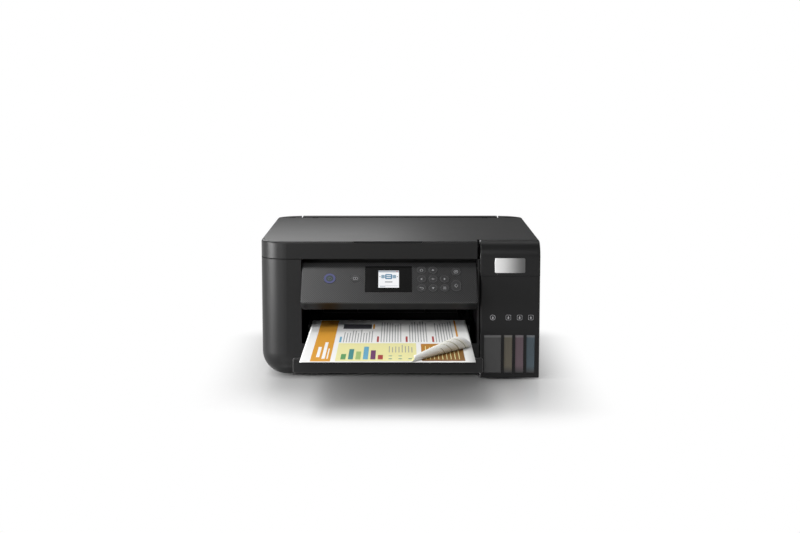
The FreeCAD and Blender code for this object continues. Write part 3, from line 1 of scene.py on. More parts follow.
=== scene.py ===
import bpy
import math
import numpy as np
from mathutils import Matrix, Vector


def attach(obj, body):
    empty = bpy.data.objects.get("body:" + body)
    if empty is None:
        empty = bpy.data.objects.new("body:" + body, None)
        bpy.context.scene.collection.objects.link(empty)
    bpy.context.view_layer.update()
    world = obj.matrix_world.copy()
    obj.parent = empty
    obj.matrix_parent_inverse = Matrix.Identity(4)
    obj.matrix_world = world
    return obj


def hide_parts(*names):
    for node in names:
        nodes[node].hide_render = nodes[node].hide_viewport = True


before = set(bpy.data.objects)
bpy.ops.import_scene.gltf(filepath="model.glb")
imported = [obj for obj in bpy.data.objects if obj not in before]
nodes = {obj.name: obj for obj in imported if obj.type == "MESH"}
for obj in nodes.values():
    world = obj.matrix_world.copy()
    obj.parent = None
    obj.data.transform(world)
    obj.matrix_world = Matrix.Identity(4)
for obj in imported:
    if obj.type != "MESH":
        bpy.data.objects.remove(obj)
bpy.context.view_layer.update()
scene = bpy.context.scene
scene.view_settings.view_transform = "Standard"
mm = 0.001
print("frame loaded:", len(nodes), "nodes")

# places shared with the solids, in millimetres and degrees
body = {"front": -57.75, "openingCentre": -14.25}
panel = {"pivotDepth": 4.7, "pivotHeight": 149.5, "tilt": 42.0, "top": 8.5, "face": 2.7, "proud": 0.4}

# camera: the photograph's own view; the far clip is in metres
camera = {"height": 423.95, "distance": 2060.9, "pitch": 7.685, "lens": 68.19, "sensor": 36, "farClip": 50}
lens = bpy.data.cameras.new("photo_view")
lens.lens = camera["lens"]
lens.sensor_width = camera["sensor"]
lens.clip_end = camera["farClip"]
viewer = bpy.data.objects.new("photo_view", lens)
viewer.location = (0, -camera["distance"] * mm, camera["height"] * mm)
viewer.rotation_euler = (math.radians(90 - camera["pitch"]), 0, 0)
scene.collection.objects.link(viewer)
scene.camera = viewer
print("camera placed")


class Shade:
    # one shader socket; an operator adds a Math node, add() makes any other node
    def __init__(self, tree, socket=None):
        self.tree = tree
        self.socket = socket

    def add(self, kind, settings=None, sockets=None, out=0):
        node = self.tree.nodes.new("ShaderNode" + kind)
        for key, value in (settings or {}).items():
            if key == "stops":
                for index, (place, colour) in enumerate(value):
                    stops = node.color_ramp.elements
                    stop = stops[index] if index < 2 else stops.new(place)  # a new ramp has two stops
                    stop.position = place
                    stop.color = colour
            else:
                setattr(node, key, value)
        for key, value in (sockets or {}).items():
            if isinstance(value, Shade):
                self.tree.links.new(value.socket, node.inputs[key])
            else:
                node.inputs[key].default_value = value
        return Shade(self.tree, node.outputs[out] if node.outputs else None)

    def maths(self, operation, *others):
        return self.add("Math", {"operation": operation}, dict(enumerate((self, *others))))

    def __add__(self, other):
        return self.maths("ADD", other)

    def __mul__(self, other):
        return self.maths("MULTIPLY", other)

    def __sub__(self, other):
        return self.maths("SUBTRACT", other)

    def __rsub__(self, other):
        return self.add("Math", {"operation": "SUBTRACT"}, {0: other, 1: self})

    __radd__ = __add__
    __rmul__ = __mul__

    def rise(self, low, high):  # 0 below low, 1 above high, smooth between
        return self.add("MapRange", {"interpolation_type": "SMOOTHSTEP"}, {0: self, 1: low, 2: high})

    def wave(self, rate):  # sine between 0 and 1, rate in radians to the metre
        return (self * rate).maths("SINE") * 0.5 + 0.5

    def mixed(self, first, second):  # first colour where this is 0, second where it is 1
        return self.add("Mix", {"data_type": "RGBA"}, {0: self, 6: first, 7: second}, out=2)

    def parts(self):
        split = self.add("SeparateXYZ", None, {0: self})
        outs = split.socket.node.outputs
        return [Shade(self.tree, outs[index]) for index in range(3)]

    def noise(self, where, scale, detail=2.0, stretch=None):
        if stretch:
            where = self.add("Mapping", None, {"Vector": where, "Scale": stretch})
        return self.add("TexNoise", None, {"Vector": where, "Scale": scale, "Detail": detail})


def grey(level, tint=(1.0, 1.0, 1.0)):
    return tuple(level * share for share in tint) + (1.0,)


def shaded(colour, share):
    return tuple(channel * share for channel in colour[:3]) + (1.0,)


def blankMaterial(name):
    material = bpy.data.materials.new(name)
    material.use_nodes = True
    material.node_tree.nodes.clear()
    return material, Shade(material.node_tree)


plainLook = {
    "colour": grey(0.02), "roughness": 0.5, "specular": 0.5, "metal": 0.0,
    "grain": 2400.0, "grainDepth": 0.00002, "grainStrength": 0.25,
    "blotch": 22.0, "blotchDetail": 3.0, "fade": 0.12, "wear": 0.05,
}


# every finish: base colour and roughness drift slowly with one noise, a fine noise is the moulded grain;
# pattern(shade, place, made) may replace what is made here
def finish(name, look, pattern=None):
    look = {**plainLook, **look}
    material, shade = blankMaterial(name)
    place = shade.add("TexCoord", out=3)  # object coordinates
    drift = shade.noise(place, look["blotch"], look["blotchDetail"])
    darker = shaded(look["colour"], 1 - look["fade"])
    paler = shaded(look["colour"], 1 + look["fade"])
    made = {
        "colour": drift.mixed(darker, paler),
        "roughness": drift * (2 * look["wear"]) + (look["roughness"] - look["wear"]),
        "height": shade.noise(place, look["grain"]),
        "metal": look["metal"],
    }
    if pattern:
        pattern(shade, place, made)
    bump = shade.add("Bump", None, {
        "Height": made["height"], "Strength": look["grainStrength"], "Distance": look["grainDepth"],
    })
    sockets = {
        "Base Color": made["colour"], "Roughness": made["roughness"], "Metallic": made["metal"],
        "Specular IOR Level": look["specular"], "Normal": bump,
    }
    sockets.update(look.get("extra", {}))
    if "glow" in made:
        sockets["Emission Color"] = made["glow"]
        sockets["Emission Strength"] = look["glowStrength"]
    shader = shade.add("BsdfPrincipled", None, sockets)
    shade.add("OutputMaterial", None, {0: shader})
    return material


# panel texture: small diamonds from two crossed diagonal waves in the panel's own plane, bumped, with the
# grooves painted darker than the crowns as painted shade
diamonds = {
    "pitch": 3.0, "depth": 0.7, "edge": (0.1, 0.9), "grooveShade": 0.004, "crown": 0.034, "tint": (1, 1, 1.03),
}


def panelDiamonds(shade, place, made):
    flat = shade.add("Mapping", None, {"Vector": place, "Rotation": (math.radians(panel["tilt"]), 0, 0)})
    x, y, z = flat.parts()
    turn = math.pi / (diamonds["pitch"] * mm)
    first = ((x + z) * turn).maths("SINE")
    second = ((x - z) * turn).maths("SINE")
    lattice = (first * second).maths("ABSOLUTE")
    grooveShade, crown = (grey(diamonds[level], diamonds["tint"]) for level in ("grooveShade", "crown"))
    made["height"] = made["height"] * (1 - diamonds["depth"]) + lattice * diamonds["depth"]
    # painted shade: the grooves get a darker colour than the crowns
    made["colour"] = lattice.rise(*diamonds["edge"]).mixed(grooveShade, crown)


# chassis sheet: spangle of zinc crystals with a fine rolled grain along X
zinc = {
    "spangle": 160.0, "dark": 0.42, "pale": 0.62, "tint": (1, 1, 1.02), "roughRange": 0.18, "smooth": 0.28,
    "grain": 3000.0, "stretch": (0.04, 1.0, 1.0),
}


def galvanised(shade, place, made):
    spangle = shade.add("TexVoronoi", None, {"Vector": place, "Scale": zinc["spangle"]}, out=1)
    tone = spangle.parts()[0]
    made["colour"] = tone.mixed(grey(zinc["dark"], zinc["tint"]), grey(zinc["pale"], zinc["tint"]))
    made["roughness"] = tone * zinc["roughRange"] + zinc["smooth"]
    made["height"] = shade.noise(place, zinc["grain"], stretch=zinc["stretch"])


lathe = {"rings": 9000.0, "roughRange": 0.1, "smooth": 0.24}


def turnedAlongX(shade, place, made):  # lathe rings across the shaft
    rings = place.parts()[0].wave(lathe["rings"])
    made["height"] = rings
    made["roughness"] = rings * lathe["roughRange"] + lathe["smooth"]


# rollers: axis, radius outside which they are rubber, and x at which the gear on the left end stops;
# the feed roller is bare steel, so its core is wider than it is, and the pick roller has no gear
rollers = {
    "rollerFeed": {"depth": 147.25, "height": 84.0, "core": 40.0, "gearEnd": -153.6},
    "rollerExit": {"depth": 82.25, "height": 84.0, "core": 4.5, "gearEnd": -153.6},
    "rollerPick": {"depth": 224.3, "height": 124.9, "core": 3.5, "gearEnd": -400.0},
}
rollerLook = {
    "steel": grey(0.5), "rubber": grey(0.035), "gear": grey(0.72, (1, 0.99, 0.94)),
    "smooth": 0.3, "rubberAdds": 0.45, "rings": 6000.0, "ringShare": 0.4,
}


def rollerParts(roller):
    def pattern(shade, place, made):
        x, y, z = place.parts()
        dy, dz = y - roller["depth"] * mm, z - roller["height"] * mm
        radius = (dy * dy + dz * dz).maths("SQRT")
        rubber = radius.maths("GREATER_THAN", roller["core"] * mm)
        gear = x.maths("LESS_THAN", roller["gearEnd"] * mm)
        shaft = rubber.mixed(rollerLook["steel"], rollerLook["rubber"])
        made["colour"] = gear.mixed(shaft, rollerLook["gear"])
        made["metal"] = (1 - rubber) * (1 - gear)
        made["roughness"] = rubber * rollerLook["rubberAdds"] + rollerLook["smooth"]
        share = rollerLook["ringShare"]
        made["height"] = made["height"] * (1 - share) + x.wave(rollerLook["rings"]) * share
    return pattern


# ink tanks: colour steps along X at the gaps between tanks, paler above the ink and darker at the foot
tanks = {
    "gaps": (152.78, 167.82), "level": 57.5, "blur": 0.6, "foot": (8.0, 20.0),
    "footTone": 0.045, "airTone": 0.22, "airShare": 0.45, "black": 0.058,
    "yellow": (0.105, 0.094, 0.070, 1), "magenta": (0.112, 0.078, 0.092, 1), "cyan": (0.064, 0.088, 0.105, 1),
}


def colourInks(shade, place, made):
    x, y, z = place.parts()
    second, third = (x.maths("GREATER_THAN", gap * mm) for gap in tanks["gaps"])
    tint = third.mixed(second.mixed(tanks["yellow"], tanks["magenta"]), tanks["cyan"])
    low, high = tanks["foot"]
    foot = 1 - z.rise(low * mm, high * mm)
    inkLevel(z, foot.mixed(tint, grey(tanks["footTone"])), made)


def blackInk(shade, place, made):
    inkLevel(place.parts()[2], grey(tanks["black"]), made)


def inkLevel(z, tint, made):  # tint below the ink's surface, paler above it
    level, blur = tanks["level"] * mm, tanks["blur"] * mm
    air = z.rise(level - blur, level + blur) * tanks["airShare"]
    made["colour"] = air.mixed(tint, grey(tanks["airTone"]))


# main board: copper tracks under the mask, bare metal on the socket above the board
board = {
    "top": 41.65, "tracks": 260.0, "trackWidth": 0.09, "shift": 0.35,
    "mask": (0.006, 0.085, 0.035, 1), "copper": (0.02, 0.16, 0.07, 1), "socket": grey(0.55),
}


def boardTraces(shade, place, made):
    tracks = shade.add("TexBrick", {"offset": board["shift"]}, {
        "Vector": place, "Scale": board["tracks"], "Mortar Size": board["trackWidth"],
        "Color1": grey(0.0), "Color2": grey(0.0), "Mortar": grey(1.0),
    })
    socket = place.parts()[2].maths("GREATER_THAN", board["top"] * mm)
    made["colour"] = socket.mixed(tracks.mixed(board["mask"], board["copper"]), board["socket"])
    made["metal"] = socket


# print head: rows of fine nozzles where the product of two crossed waves is high
nozzles = {
    "across": 2600.0, "along": 5200.0, "edge": (0.55, 0.8),
    "plate": grey(0.5, (1, 0.97, 0.9)), "hole": grey(0.1),
}


def nozzleRows(shade, place, made):
    x, y, z = place.parts()
    dots = (x * nozzles["across"]).maths("SINE") * (y * nozzles["along"]).maths("SINE")
    made["colour"] = dots.rise(*nozzles["edge"]).mixed(nozzles["plate"], nozzles["hole"])


spray = {"cells": 900.0}


def sprayedMetal(shade, place, made):  # orange-peel cells in the paint
    made["height"] = shade.add("TexVoronoi", None, {"Vector": place, "Scale": spray["cells"]})


# seam under the scanner, round the left and the front: where the two shells' edges meet, a narrow band is
# made matt and its colour darkened as painted shade of the gap
seam = {"height": 163.5, "half": 0.8, "core": 0.6, "right": 100.0, "rear": 240.0, "matt": 0.95, "dark": 0.001}


def seamPaintedShade(shade, place, made):
    x, y, z = place.parts()
    half = seam["half"] * mm
    line = 1 - (z - seam["height"] * mm).maths("ABSOLUTE").rise(half * seam["core"], half)
    line = line * x.maths("LESS_THAN", seam["right"] * mm) * y.maths("LESS_THAN", seam["rear"] * mm)
    # painted shade: a darker colour in the band stands in for the gap's shadow; the rougher surface below is
    # the band's own matt
    made["colour"] = line.mixed(made["colour"], grey(seam["dark"]))
    made["roughness"] = made["roughness"] * (1 - line) + line * seam["matt"]


looks = {
    "caseBlack": {"colour": grey(0.0062, (1, 1, 1.04)), "roughness": 0.42, "specular": 0.24, "wear": 0.02},
    "coverBlack": {"colour": grey(0.0062, (1, 1, 1.04)), "roughness": 0.38, "specular": 0.25, "grain": 3000.0,
                   "wear": 0.012, "fade": 0.06},
    "panelGrey": {"roughness": 0.36, "grainDepth": 0.0001, "grainStrength": 0.5},
    "displayGloss": {"colour": grey(0.004), "roughness": 0.16, "specular": 0.35, "wear": 0.03,
                     "grainStrength": 0.02},
    "keyGrey": {"colour": grey(0.020, (1, 1, 1.03)), "roughness": 0.45, "specular": 0.38},
    "trayBlack": {"colour": grey(0.0080, (1, 1, 1.03)), "roughness": 0.40, "specular": 0.27},
    "innerBlack": {"colour": grey(0.010), "roughness": 0.58, "specular": 0.28, "grain": 1500.0},
    "matWhite": {"colour": grey(0.80), "roughness": 0.7, "fade": 0.02, "grain": 700.0, "grainStrength": 0.4},
    "rubberBlack": {"colour": grey(0.014), "roughness": 0.82, "specular": 0.25, "grain": 1200.0,
                    "grainStrength": 0.5},
    "steelSheet": {"metal": 1.0, "grainStrength": 0.1},
    "steelTurned": {"colour": grey(0.52), "metal": 1.0, "fade": 0.05, "grainStrength": 0.08},
    "acetal": {"colour": grey(0.70, (1, 0.99, 0.95)), "roughness": 0.38, "fade": 0.03},
    "headMetal": {"roughness": 0.22, "metal": 0.9, "grainStrength": 0.05},
    "tankSmoke": {"roughness": 0.24, "specular": 0.30, "grainStrength": 0.04},
    "tankTints": {"roughness": 0.24, "specular": 0.30, "grainStrength": 0.04},
    "rollerFeed": {}, "rollerExit": {}, "rollerPick": {},
    "socketBlack": {"colour": grey(0.012), "roughness": 0.55},
    "supplyPaint": {"colour": grey(0.11), "metal": 0.3, "grainStrength": 0.3},
    "boardGreen": {"roughness": 0.35},
    "bedGlass": {"colour": (0.86, 0.93, 0.91, 1), "roughness": 0.04, "wear": 0.02, "fade": 0.02,
                 "grainStrength": 0.0, "extra": {"Transmission Weight": 0.92, "IOR": 1.5}},
    "capBlack": {"colour": grey(0.02), "roughness": 0.4},
    "capYellow": {"colour": (0.75, 0.55, 0.03, 1), "roughness": 0.4},
    "capMagenta": {"colour": (0.55, 0.03, 0.2, 1), "roughness": 0.4},
    "capCyan": {"colour": (0.02, 0.3, 0.6, 1), "roughness": 0.4},
}
patterns = {
    "caseBlack": seamPaintedShade, "coverBlack": seamPaintedShade, "panelGrey": panelDiamonds, "supplyPaint": sprayedMetal,
    "steelSheet": galvanised, "steelTurned": turnedAlongX, "headMetal": nozzleRows, "boardGreen": boardTraces,
    "tankSmoke": blackInk, "tankTints": colourInks,
    **{name: rollerParts(roller) for name, roller in rollers.items()},
}
finishes = {name: finish(name, look, patterns.get(name)) for name, look in looks.items()}
print("finishes made:", len(finishes))

wearing = {
    "caseBlack": "lower_case tank_housing rear_deck rear_cover paper_support panel_back output_tray",
    "coverBlack": "document_cover scanner_frame tank_shroud",
    "panelGrey": "panel_fascia",
    "displayGloss": "display_window",
    "keyGrey": "power_button help_key stop_key home_key up_key left_key select_key right_key back_key "
               "down_key options_key start_key",
    "trayBlack": "tray_extension",
    "innerBlack": "scanner_tub tray_rails rear_feeder platen cap_station carriage edge_guide_left "
                  "edge_guide_right scan_bar",
    "bedGlass": "scanner_glass",
    "matWhite": "document_mat printed_sheet",
    "rubberBlack": "rubber_feet timing_belt",
    "rollerFeed": "feed_roller", "rollerExit": "exit_roller", "rollerPick": "pick_roller",
    "steelSheet": "chassis_frame",
    "steelTurned": "scan_rail feed_motor carriage_motor",
    "acetal": "idler_gear motor_pinion drive_pulley idler_pulley",
    "headMetal": "print_head",
    "tankSmoke": "ink_tank_black", "tankTints": "colour_ink_tanks",
    "capBlack": "black_tank_cap", "capYellow": "yellow_tank_cap",
    "capMagenta": "magenta_tank_cap", "capCyan": "cyan_tank_cap",
    "socketBlack": "power_inlet",
    "supplyPaint": "power_supply",
    "boardGreen": "main_board",
}
for finishName, wearers in wearing.items():
    for wearer in wearers.split():
        slots = nodes[wearer].data.materials
        slots.clear()
        slots.append(finishes[finishName])
print("solids dressed")


# quads of a grid of rows by columns points, as one array of index rows
def gridFaces(rows, columns):
    corner = np.arange(rows * columns).reshape(rows, columns)
    quads = (corner[:-1, :-1], corner[:-1, 1:], corner[1:, 1:], corner[1:, :-1])
    return np.stack(quads, axis=-1).reshape(-1, 4)


def makePiece(name, points, faces, material, bodyName, smooth=False, colours=None):
    mesh = bpy.data.meshes.new(name)
    mesh.from_pydata((np.asarray(points, float) * mm).tolist(), [], np.asarray(faces).tolist())
    if colours is not None:
        layer = mesh.color_attributes.new("ink", "FLOAT_COLOR", "POINT")
        layer.data.foreach_set("color", np.asarray(colours, np.float32).ravel())
    mesh.polygons.foreach_set("use_smooth", np.full(len(mesh.polygons), smooth))
    mesh.materials.append(material)
    mesh.update()
    piece = bpy.data.objects.new(name, mesh)
    scene.collection.objects.link(piece)
    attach(piece, bodyName)
    return piece


class Marks:
    # flat printed shapes gathered into one mesh: each is a small grid of points with one colour
    def __init__(self):
        self.points, self.faces, self.colours, self.count = [], [], [], 0

    def grid(self, points, colour):  # points: rows by columns by 2 or 3
        rows, columns = points.shape[:2]
        self.points.append(points.reshape(-1, points.shape[-1]))
        self.faces.append(gridFaces(rows, columns) + self.count)
        self.colours.append(np.tile(np.asarray(colour, float), (rows * columns, 1)))
        self.count += rows * columns

    def gathered(self):
        return np.concatenate(self.points), np.concatenate(self.faces), np.concatenate(self.colours)


# flat outlines, each a grid of two rows: an inner and an outer edge
def ring(across, up, inner, outer, start=0.0, sweep=360.0, count=40):
    # centre plus each radius times the cosine and sine of an angle that sweeps round
    angle = np.radians(start + np.linspace(0, sweep, count))
    both = np.array([inner, outer])[:, None]
    return np.stack((across + both * np.cos(angle), up + both * np.sin(angle)), axis=-1)


def stroke(start, end, width):
    # straight line: both ends moved half the width to each side, square to the line
    start, end = np.asarray(start, float), np.asarray(end, float)
    along = (end - start) / np.linalg.norm(end - start)
    side = np.array((-along[1], along[0])) * width / 2
    return np.array([[start - side, end - side], [start + side, end + side]])


def box(across, up, width, height):
    # upright rectangle: the centre plus and minus half of each side
    x = across + np.array((-1, 1)) * width / 2
    z = up + np.array((-1, 1)) * height / 2
    return np.stack(np.meshgrid(x, z), axis=-1)


def wedge(across, up, size, turn, tipWidth=0.001):
    # filled triangle that points along turn: its two rows run from the rear corners and close at the tip
    angle = math.radians(turn)
    ahead = np.array((math.cos(angle), math.sin(angle)))
    side = np.array((-math.sin(angle), math.cos(angle)))
    centre = np.array((across, up))
    tip = centre + ahead * size
    rear = centre - ahead * size / 2
    left, right = rear + side * size, rear - side * size
    return np.array([[left, (left + tip) / 2, tip], [right, (right + tip) / 2, tip + side * tipWidth]])


def roundedFrame(across, up, width, height, corner, line, count=48, nudge=0.00001):
    # outline of a rounded rectangle: a circle of the corner's radius, each quarter pushed out to its corner;
    # the nudge keeps every point off the axes, so that the outline closes
    angle = np.linspace(0, 2 * math.pi, count * 4 + 1) + nudge
    turnX, turnZ = np.cos(angle), np.sin(angle)
    edges = []
    for shrink in (line, 0.0):
        radius = corner - shrink
        x = across + np.sign(turnX) * (width / 2 - corner) + radius * turnX
        z = up + np.sign(turnZ) * (height / 2 - corner) + radius * turnZ
        edges.append(np.stack((x, z), axis=-1))
    return np.array(edges)


def roundedPlate(across, up, width, height, corner):
    # filled rounded rectangle: its outline joined to its centre
    edge = roundedFrame(across, up, width, height, corner, 0.0)[1]
    return np.array([np.tile((across, up), (len(edge), 1)), edge])


# point of the control panel: across from the opening's middle, down from its top edge, out of its face
def onPanel(flat, lift):
    tilt = math.radians(panel["tilt"])
    x = body["openingCentre"] + flat[..., 0]
    up = panel["top"] - flat[..., 1]
    out = -panel["face"] - lift
    y = body["front"] + panel["pivotDepth"] + out * math.cos(tilt) + up * math.sin(tilt)
    z = panel["pivotHeight"] - out * math.sin(tilt) + up * math.cos(tilt)
    return np.stack((x, y, z), axis=-1)


# point of the printer's front: across, up and out of the face
def onFront(flat, lift):
    return np.stack((flat[..., 0], np.full(flat.shape[:-1], body["front"] - lift), flat[..., 1]), axis=-1)


# printed marks: colour comes from the piece's own attribute, with a faint drift; lit ones glow in that colour
inkLook = {"specular": 0.3, "grainStrength": 0.05}
inkDrift = {"scale": 300.0, "share": 0.04, "pale": 0.4, "litShare": 0.05, "litStart": 0.9, "unlit": 0.01}


def inkFinish(name, roughness, glow=0.0):
    def pattern(shade, place, made):
        ink = shade.add("VertexColor", {"layer_name": "ink"})
        drift = shade.noise(place, inkDrift["scale"])
        if glow:
            dimmed = drift * inkDrift["litShare"] + inkDrift["litStart"]
            made["glow"] = ink
            made["colour"] = dimmed.mixed(ink, grey(inkDrift["unlit"]))
        else:
            made["colour"] = (drift * inkDrift["share"]).mixed(ink, grey(inkDrift["pale"]))
    return finish(name, {**inkLook, "roughness": roughness, "glowStrength": glow}, pattern)


keyInk = inkFinish("keyInk", roughness=0.5)
screenGlow = inkFinish("screenGlow", roughness=0.3, glow=0.85)
powerGlow = inkFinish("powerGlow", roughness=0.4, glow=0.8)
pageInk = inkFinish("pageInk", roughness=0.75)

# symbols on the keys: each key's place across and down the panel
keys = {
    "home_key": (42.9, 12.2), "up_key": (58.15, 12.2),
    "left_key": (42.9, 26.5), "select_key": (58.15, 26.5), "right_key": (73.4, 26.5),
    "back_key": (42.9, 40.8), "down_key": (58.15, 40.8), "options_key": (73.4, 40.8),
    "stop_key": (88.8, 14.9), "start_key": (88.8, 37.2),
    "help_key": (-45.0, 25.6), "power_button": (-79.2, 25.6),
}
symbolLook = {
    "lift": 0.03, "line": 0.45, "ring": (0.085, 0.085, 0.088, 1), "mark": (0.30, 0.30, 0.31, 1),
    "power": (0.062, 0.068, 0.20, 1), "powerMark": (0.09, 0.15, 0.17, 1),
    "powerDish": (0.024, 0.038, 0.043, 1), "keyRadius": 6.0, "rimInset": (1.0, 0.65),
}
thin = symbolLook["line"]
symbols = {  # flat shapes about the key's middle; up is negative drop
    "home_key": [stroke((-2.2, 0.2), (0, -2.0), thin), stroke((0, -2.0), (2.2, 0.2), thin),
                 stroke((-1.6, 0), (-1.6, 1.9), thin), stroke((1.6, 0), (1.6, 1.9), thin),
                 stroke((-1.6, 1.9), (1.6, 1.9), thin)],
    "up_key": [wedge(0, 0, 1.7, -90)], "down_key": [wedge(0, 0, 1.7, 90)],
    "left_key": [wedge(0, 0, 1.7, 180)], "right_key": [wedge(0, 0, 1.7, 0)],
    "select_key": [ring(0, 0, 0.9, 1.35), stroke((1.9, 0), (2.8, 0), thin),
                   stroke((-2.8, 0), (-1.9, 0), thin)],
    "back_key": [stroke((-2.0, -0.6), (1.2, -0.6), thin), ring(1.2, 0.6, 1.0, 1.4, -90, 180, 16),
                 stroke((1.2, 1.8), (-0.8, 1.8), thin), wedge(-2.0, -0.6, 0.9, 180)],
    "options_key": [box(0, -1.5, 4.0, 0.6), box(0, 0, 4.0, 0.6), box(0, 1.5, 4.0, 0.6)],
    "stop_key": [ring(0, 0, 2.2, 2.7), wedge(0, 0, 1.3, -90)],
    "start_key": [stroke((0, -2.6), (2.2, 0), thin), stroke((2.2, 0), (0, 2.6), thin),
                  stroke((0, 2.6), (-2.2, 0), thin), stroke((-2.2, 0), (0, -2.6), thin)],
    "help_key": [roundedFrame(0, 0, 6.4, 4.2, 2.0, thin), box(0, 0, 0.6, 1.9)],
    "power_button": [ring(0, 0.2, 1.9, 2.4, -60, 300, 32), stroke((0, -2.6), (0, 0.2), 0.6)],
}


def roundRim(radius):  # thin ring just inside a round key's edge
    inner, outer = symbolLook["rimInset"]
    return ring(0, 0, radius - inner, radius - outer, count=56)


rims = {
    "stop_key": roundRim(6.4), "help_key": roundRim(5.5), "power_button": ring(0, 0, 5.0, 7.7, count=64),
    "start_key": roundedFrame(0, 0, 11.6, 16.6, 5.3, 0.35),
}
powerDish = ring(0, 0, 2.8, 5.0, count=64)
for name, place in keys.items():
    marks = Marks()
    power = name == "power_button"
    rim = rims.get(name, roundRim(symbolLook["keyRadius"]))
    marks.grid(rim, symbolLook["power" if power else "ring"])
    if power:
        marks.grid(powerDish, symbolLook["powerDish"])
    for shape in symbols[name]:
        marks.grid(shape, symbolLook["powerMark" if power else "mark"])
    flat, faces, colours = marks.gathered()
    points = onPanel(flat + np.array(place), panel["proud"] + symbolLook["lift"])
    ink = powerGlow if power else keyInk
    makePiece(name + "_symbol", points, faces[:, ::-1], ink, name + "_body", colours=colours)
print("key symbols drawn:", len(keys))

# display: a lit screen with plain generic icons behind the window's face
screen = {
    "left": -14.5, "right": 12.9, "top": 12.9, "bottom": 40.2, "lift": 0.26, "layer": 0.012,
    "stripMiddle": 1.6, "iconDrop": 22.6,
    "paper": (0.92, 0.93, 0.95, 1), "strip": (0.40, 0.44, 0.50, 1), "tile": (0.10, 0.24, 0.38, 1),
    "pale": (0.26, 0.38, 0.48, 1), "line": (0.12, 0.13, 0.15, 1), "dot": (0.45, 0.08, 0.07, 1),
}
middle = (screen["left"] + screen["right"]) / 2
width, height = screen["right"] - screen["left"], screen["bottom"] - screen["top"]
stripDrop, iconDrop = screen["top"] + screen["stripMiddle"], screen["iconDrop"]
layers = [  # from the lowest up
    (box(middle, (screen["top"] + screen["bottom"]) / 2, width, height), "paper"),
    (box(middle, stripDrop, width, 2.6), "strip"),
    (roundedPlate(middle, iconDrop, 9.6, 8.0, 1.6), "tile"),
    (roundedPlate(middle - 7.6, iconDrop, 4.6, 5.4, 1.0), "pale"),
    (roundedPlate(middle + 7.6, iconDrop, 4.6, 5.4, 1.0), "pale"),
    (wedge(middle - 11.6, iconDrop, 1.0, 180), "line"),
    (wedge(middle + 11.6, iconDrop, 1.0, 0), "line"),
    (box(middle, 21.2, 6.0, 1.2), "paper"),
    (box(middle, 24.0, 6.0, 1.2), "paper"),
    (box(middle, 31.2, 10.0, 1.3), "line"),
    (box(middle, 37.4, 24.0, 0.5), "strip"),
    (box(middle - 8.0, 38.8, 7.0, 1.0), "strip"),
    (ring(screen["right"] - 2.6, stripDrop, 0.0, 0.8), "dot"),
]
marks = Marks()
for level, (shape, tone) in enumerate(layers):
    lifts = np.full(shape.shape[:2] + (1,), level * screen["layer"])
    marks.grid(np.concatenate((shape, lifts), axis=-1), screen[tone])
flat, faces, colours = marks.gathered()
points = onPanel(flat[:, :2], screen["lift"] + flat[:, 2])
makePiece("lcd_screen", points, faces[:, ::-1], screenGlow, "panel", colours=colours)
print("display lit")

# bare plate on the shroud: brushed silver with a painted sheen, its colour bright at the left end and dim at
# the right
badge = {
    "left": 126.7, "right": 167.2, "bottom": 144.9, "top": 164.8, "corner": 1.6, "thick": 0.5,
    "rounding": 0.35, "shoulder": 0.6, "sheenBright": 0.80, "sheenDim": 0.11, "roughRange": 0.16, "smooth": 0.30,
    "grain": 2600.0, "stretch": (0.03, 1.0, 1.0),
}


def badgePaintedSheen(shade, place, made):
    across = place.parts()[0].rise(badge["left"] * mm, badge["right"] * mm)
    brushed = shade.noise(place, badge["grain"], stretch=badge["stretch"])
    # painted sheen: the colour runs from bright at the left end to dim at the right, standing in for how the
    # light falls on the plate
    made["colour"] = across.mixed(grey(badge["sheenBright"]), grey(badge["sheenDim"]))
    made["roughness"] = brushed * badge["roughRange"] + badge["smooth"]
    made["height"] = brushed


silver = finish("badgeSilverPaintedSheen", {"metal": 0.55, "grainStrength": 0.08}, badgePaintedSheen)
width, height = badge["right"] - badge["left"], badge["top"] - badge["bottom"]
centre = np.array(((badge["left"] + badge["right"]) / 2, (badge["bottom"] + badge["top"]) / 2))
outline = roundedFrame(*centre, width, height, badge["corner"], 0.0)[1]
inward = centre + (outline - centre) * (1 - 2 * badge["rounding"] / np.array((width, height)))
# rows of the plate from its back edge to the rounded front edge and the middle of its face
rows = [
    (outline, 0.0), (outline, badge["thick"] * badge["shoulder"]), (inward, badge["thick"]),
    (np.tile(centre, (len(outline), 1)), badge["thick"]),
]
points = np.array([onFront(flat, lift) for flat, lift in rows])
faces = gridFaces(*points.shape[:2])[:, ::-1]
makePiece("badge_plate", points.reshape(-1, 3), faces, silver, "scanner_unit")

# ink signs above the windows: a drop in a ring for the black tank, in a rounded square for the others
signs = {
    "height": 84.7, "size": 7.0, "line": 0.45, "lift": 0.03, "corner": 1.4, "ringGrowth": 0.2,
    "places": (124.3, 145.25, 160.3, 175.35), "tone": (0.30, 0.30, 0.31, 1),
    "dropWide": 1.5, "dropTall": 2.0, "dropSink": 0.1, "dropHeart": 0.6,
}
# teardrop: across goes with sine of the angle times sine of its half, up with its cosine
angle = np.linspace(0, 2 * math.pi, 33)
dropAcross = signs["dropWide"] * np.sin(angle) * np.sin(angle / 2)
drop = np.stack((dropAcross, signs["dropTall"] * np.cos(angle) - signs["dropSink"]), axis=-1)
size, line, radius = signs["size"], signs["line"], signs["size"] / 2
marks = Marks()
for number, across in enumerate(signs["places"]):
    if number:
        edge = roundedFrame(across, signs["height"], size, size, signs["corner"], line)
    else:
        edge = ring(across, signs["height"], radius - line, radius + signs["ringGrowth"])
    heart = np.tile((across, signs["height"] - signs["dropHeart"]), (len(drop), 1))
    marks.grid(edge, signs["tone"])
    marks.grid(np.array([heart, np.array((across, signs["height"])) + drop]), signs["tone"])
flat, faces, colours = marks.gathered()
points = onFront(flat, signs["lift"])
makePiece("ink_signs", points, faces[:, ::-1], keyInk, "housing", colours=colours)
print("badge and ink signs placed")

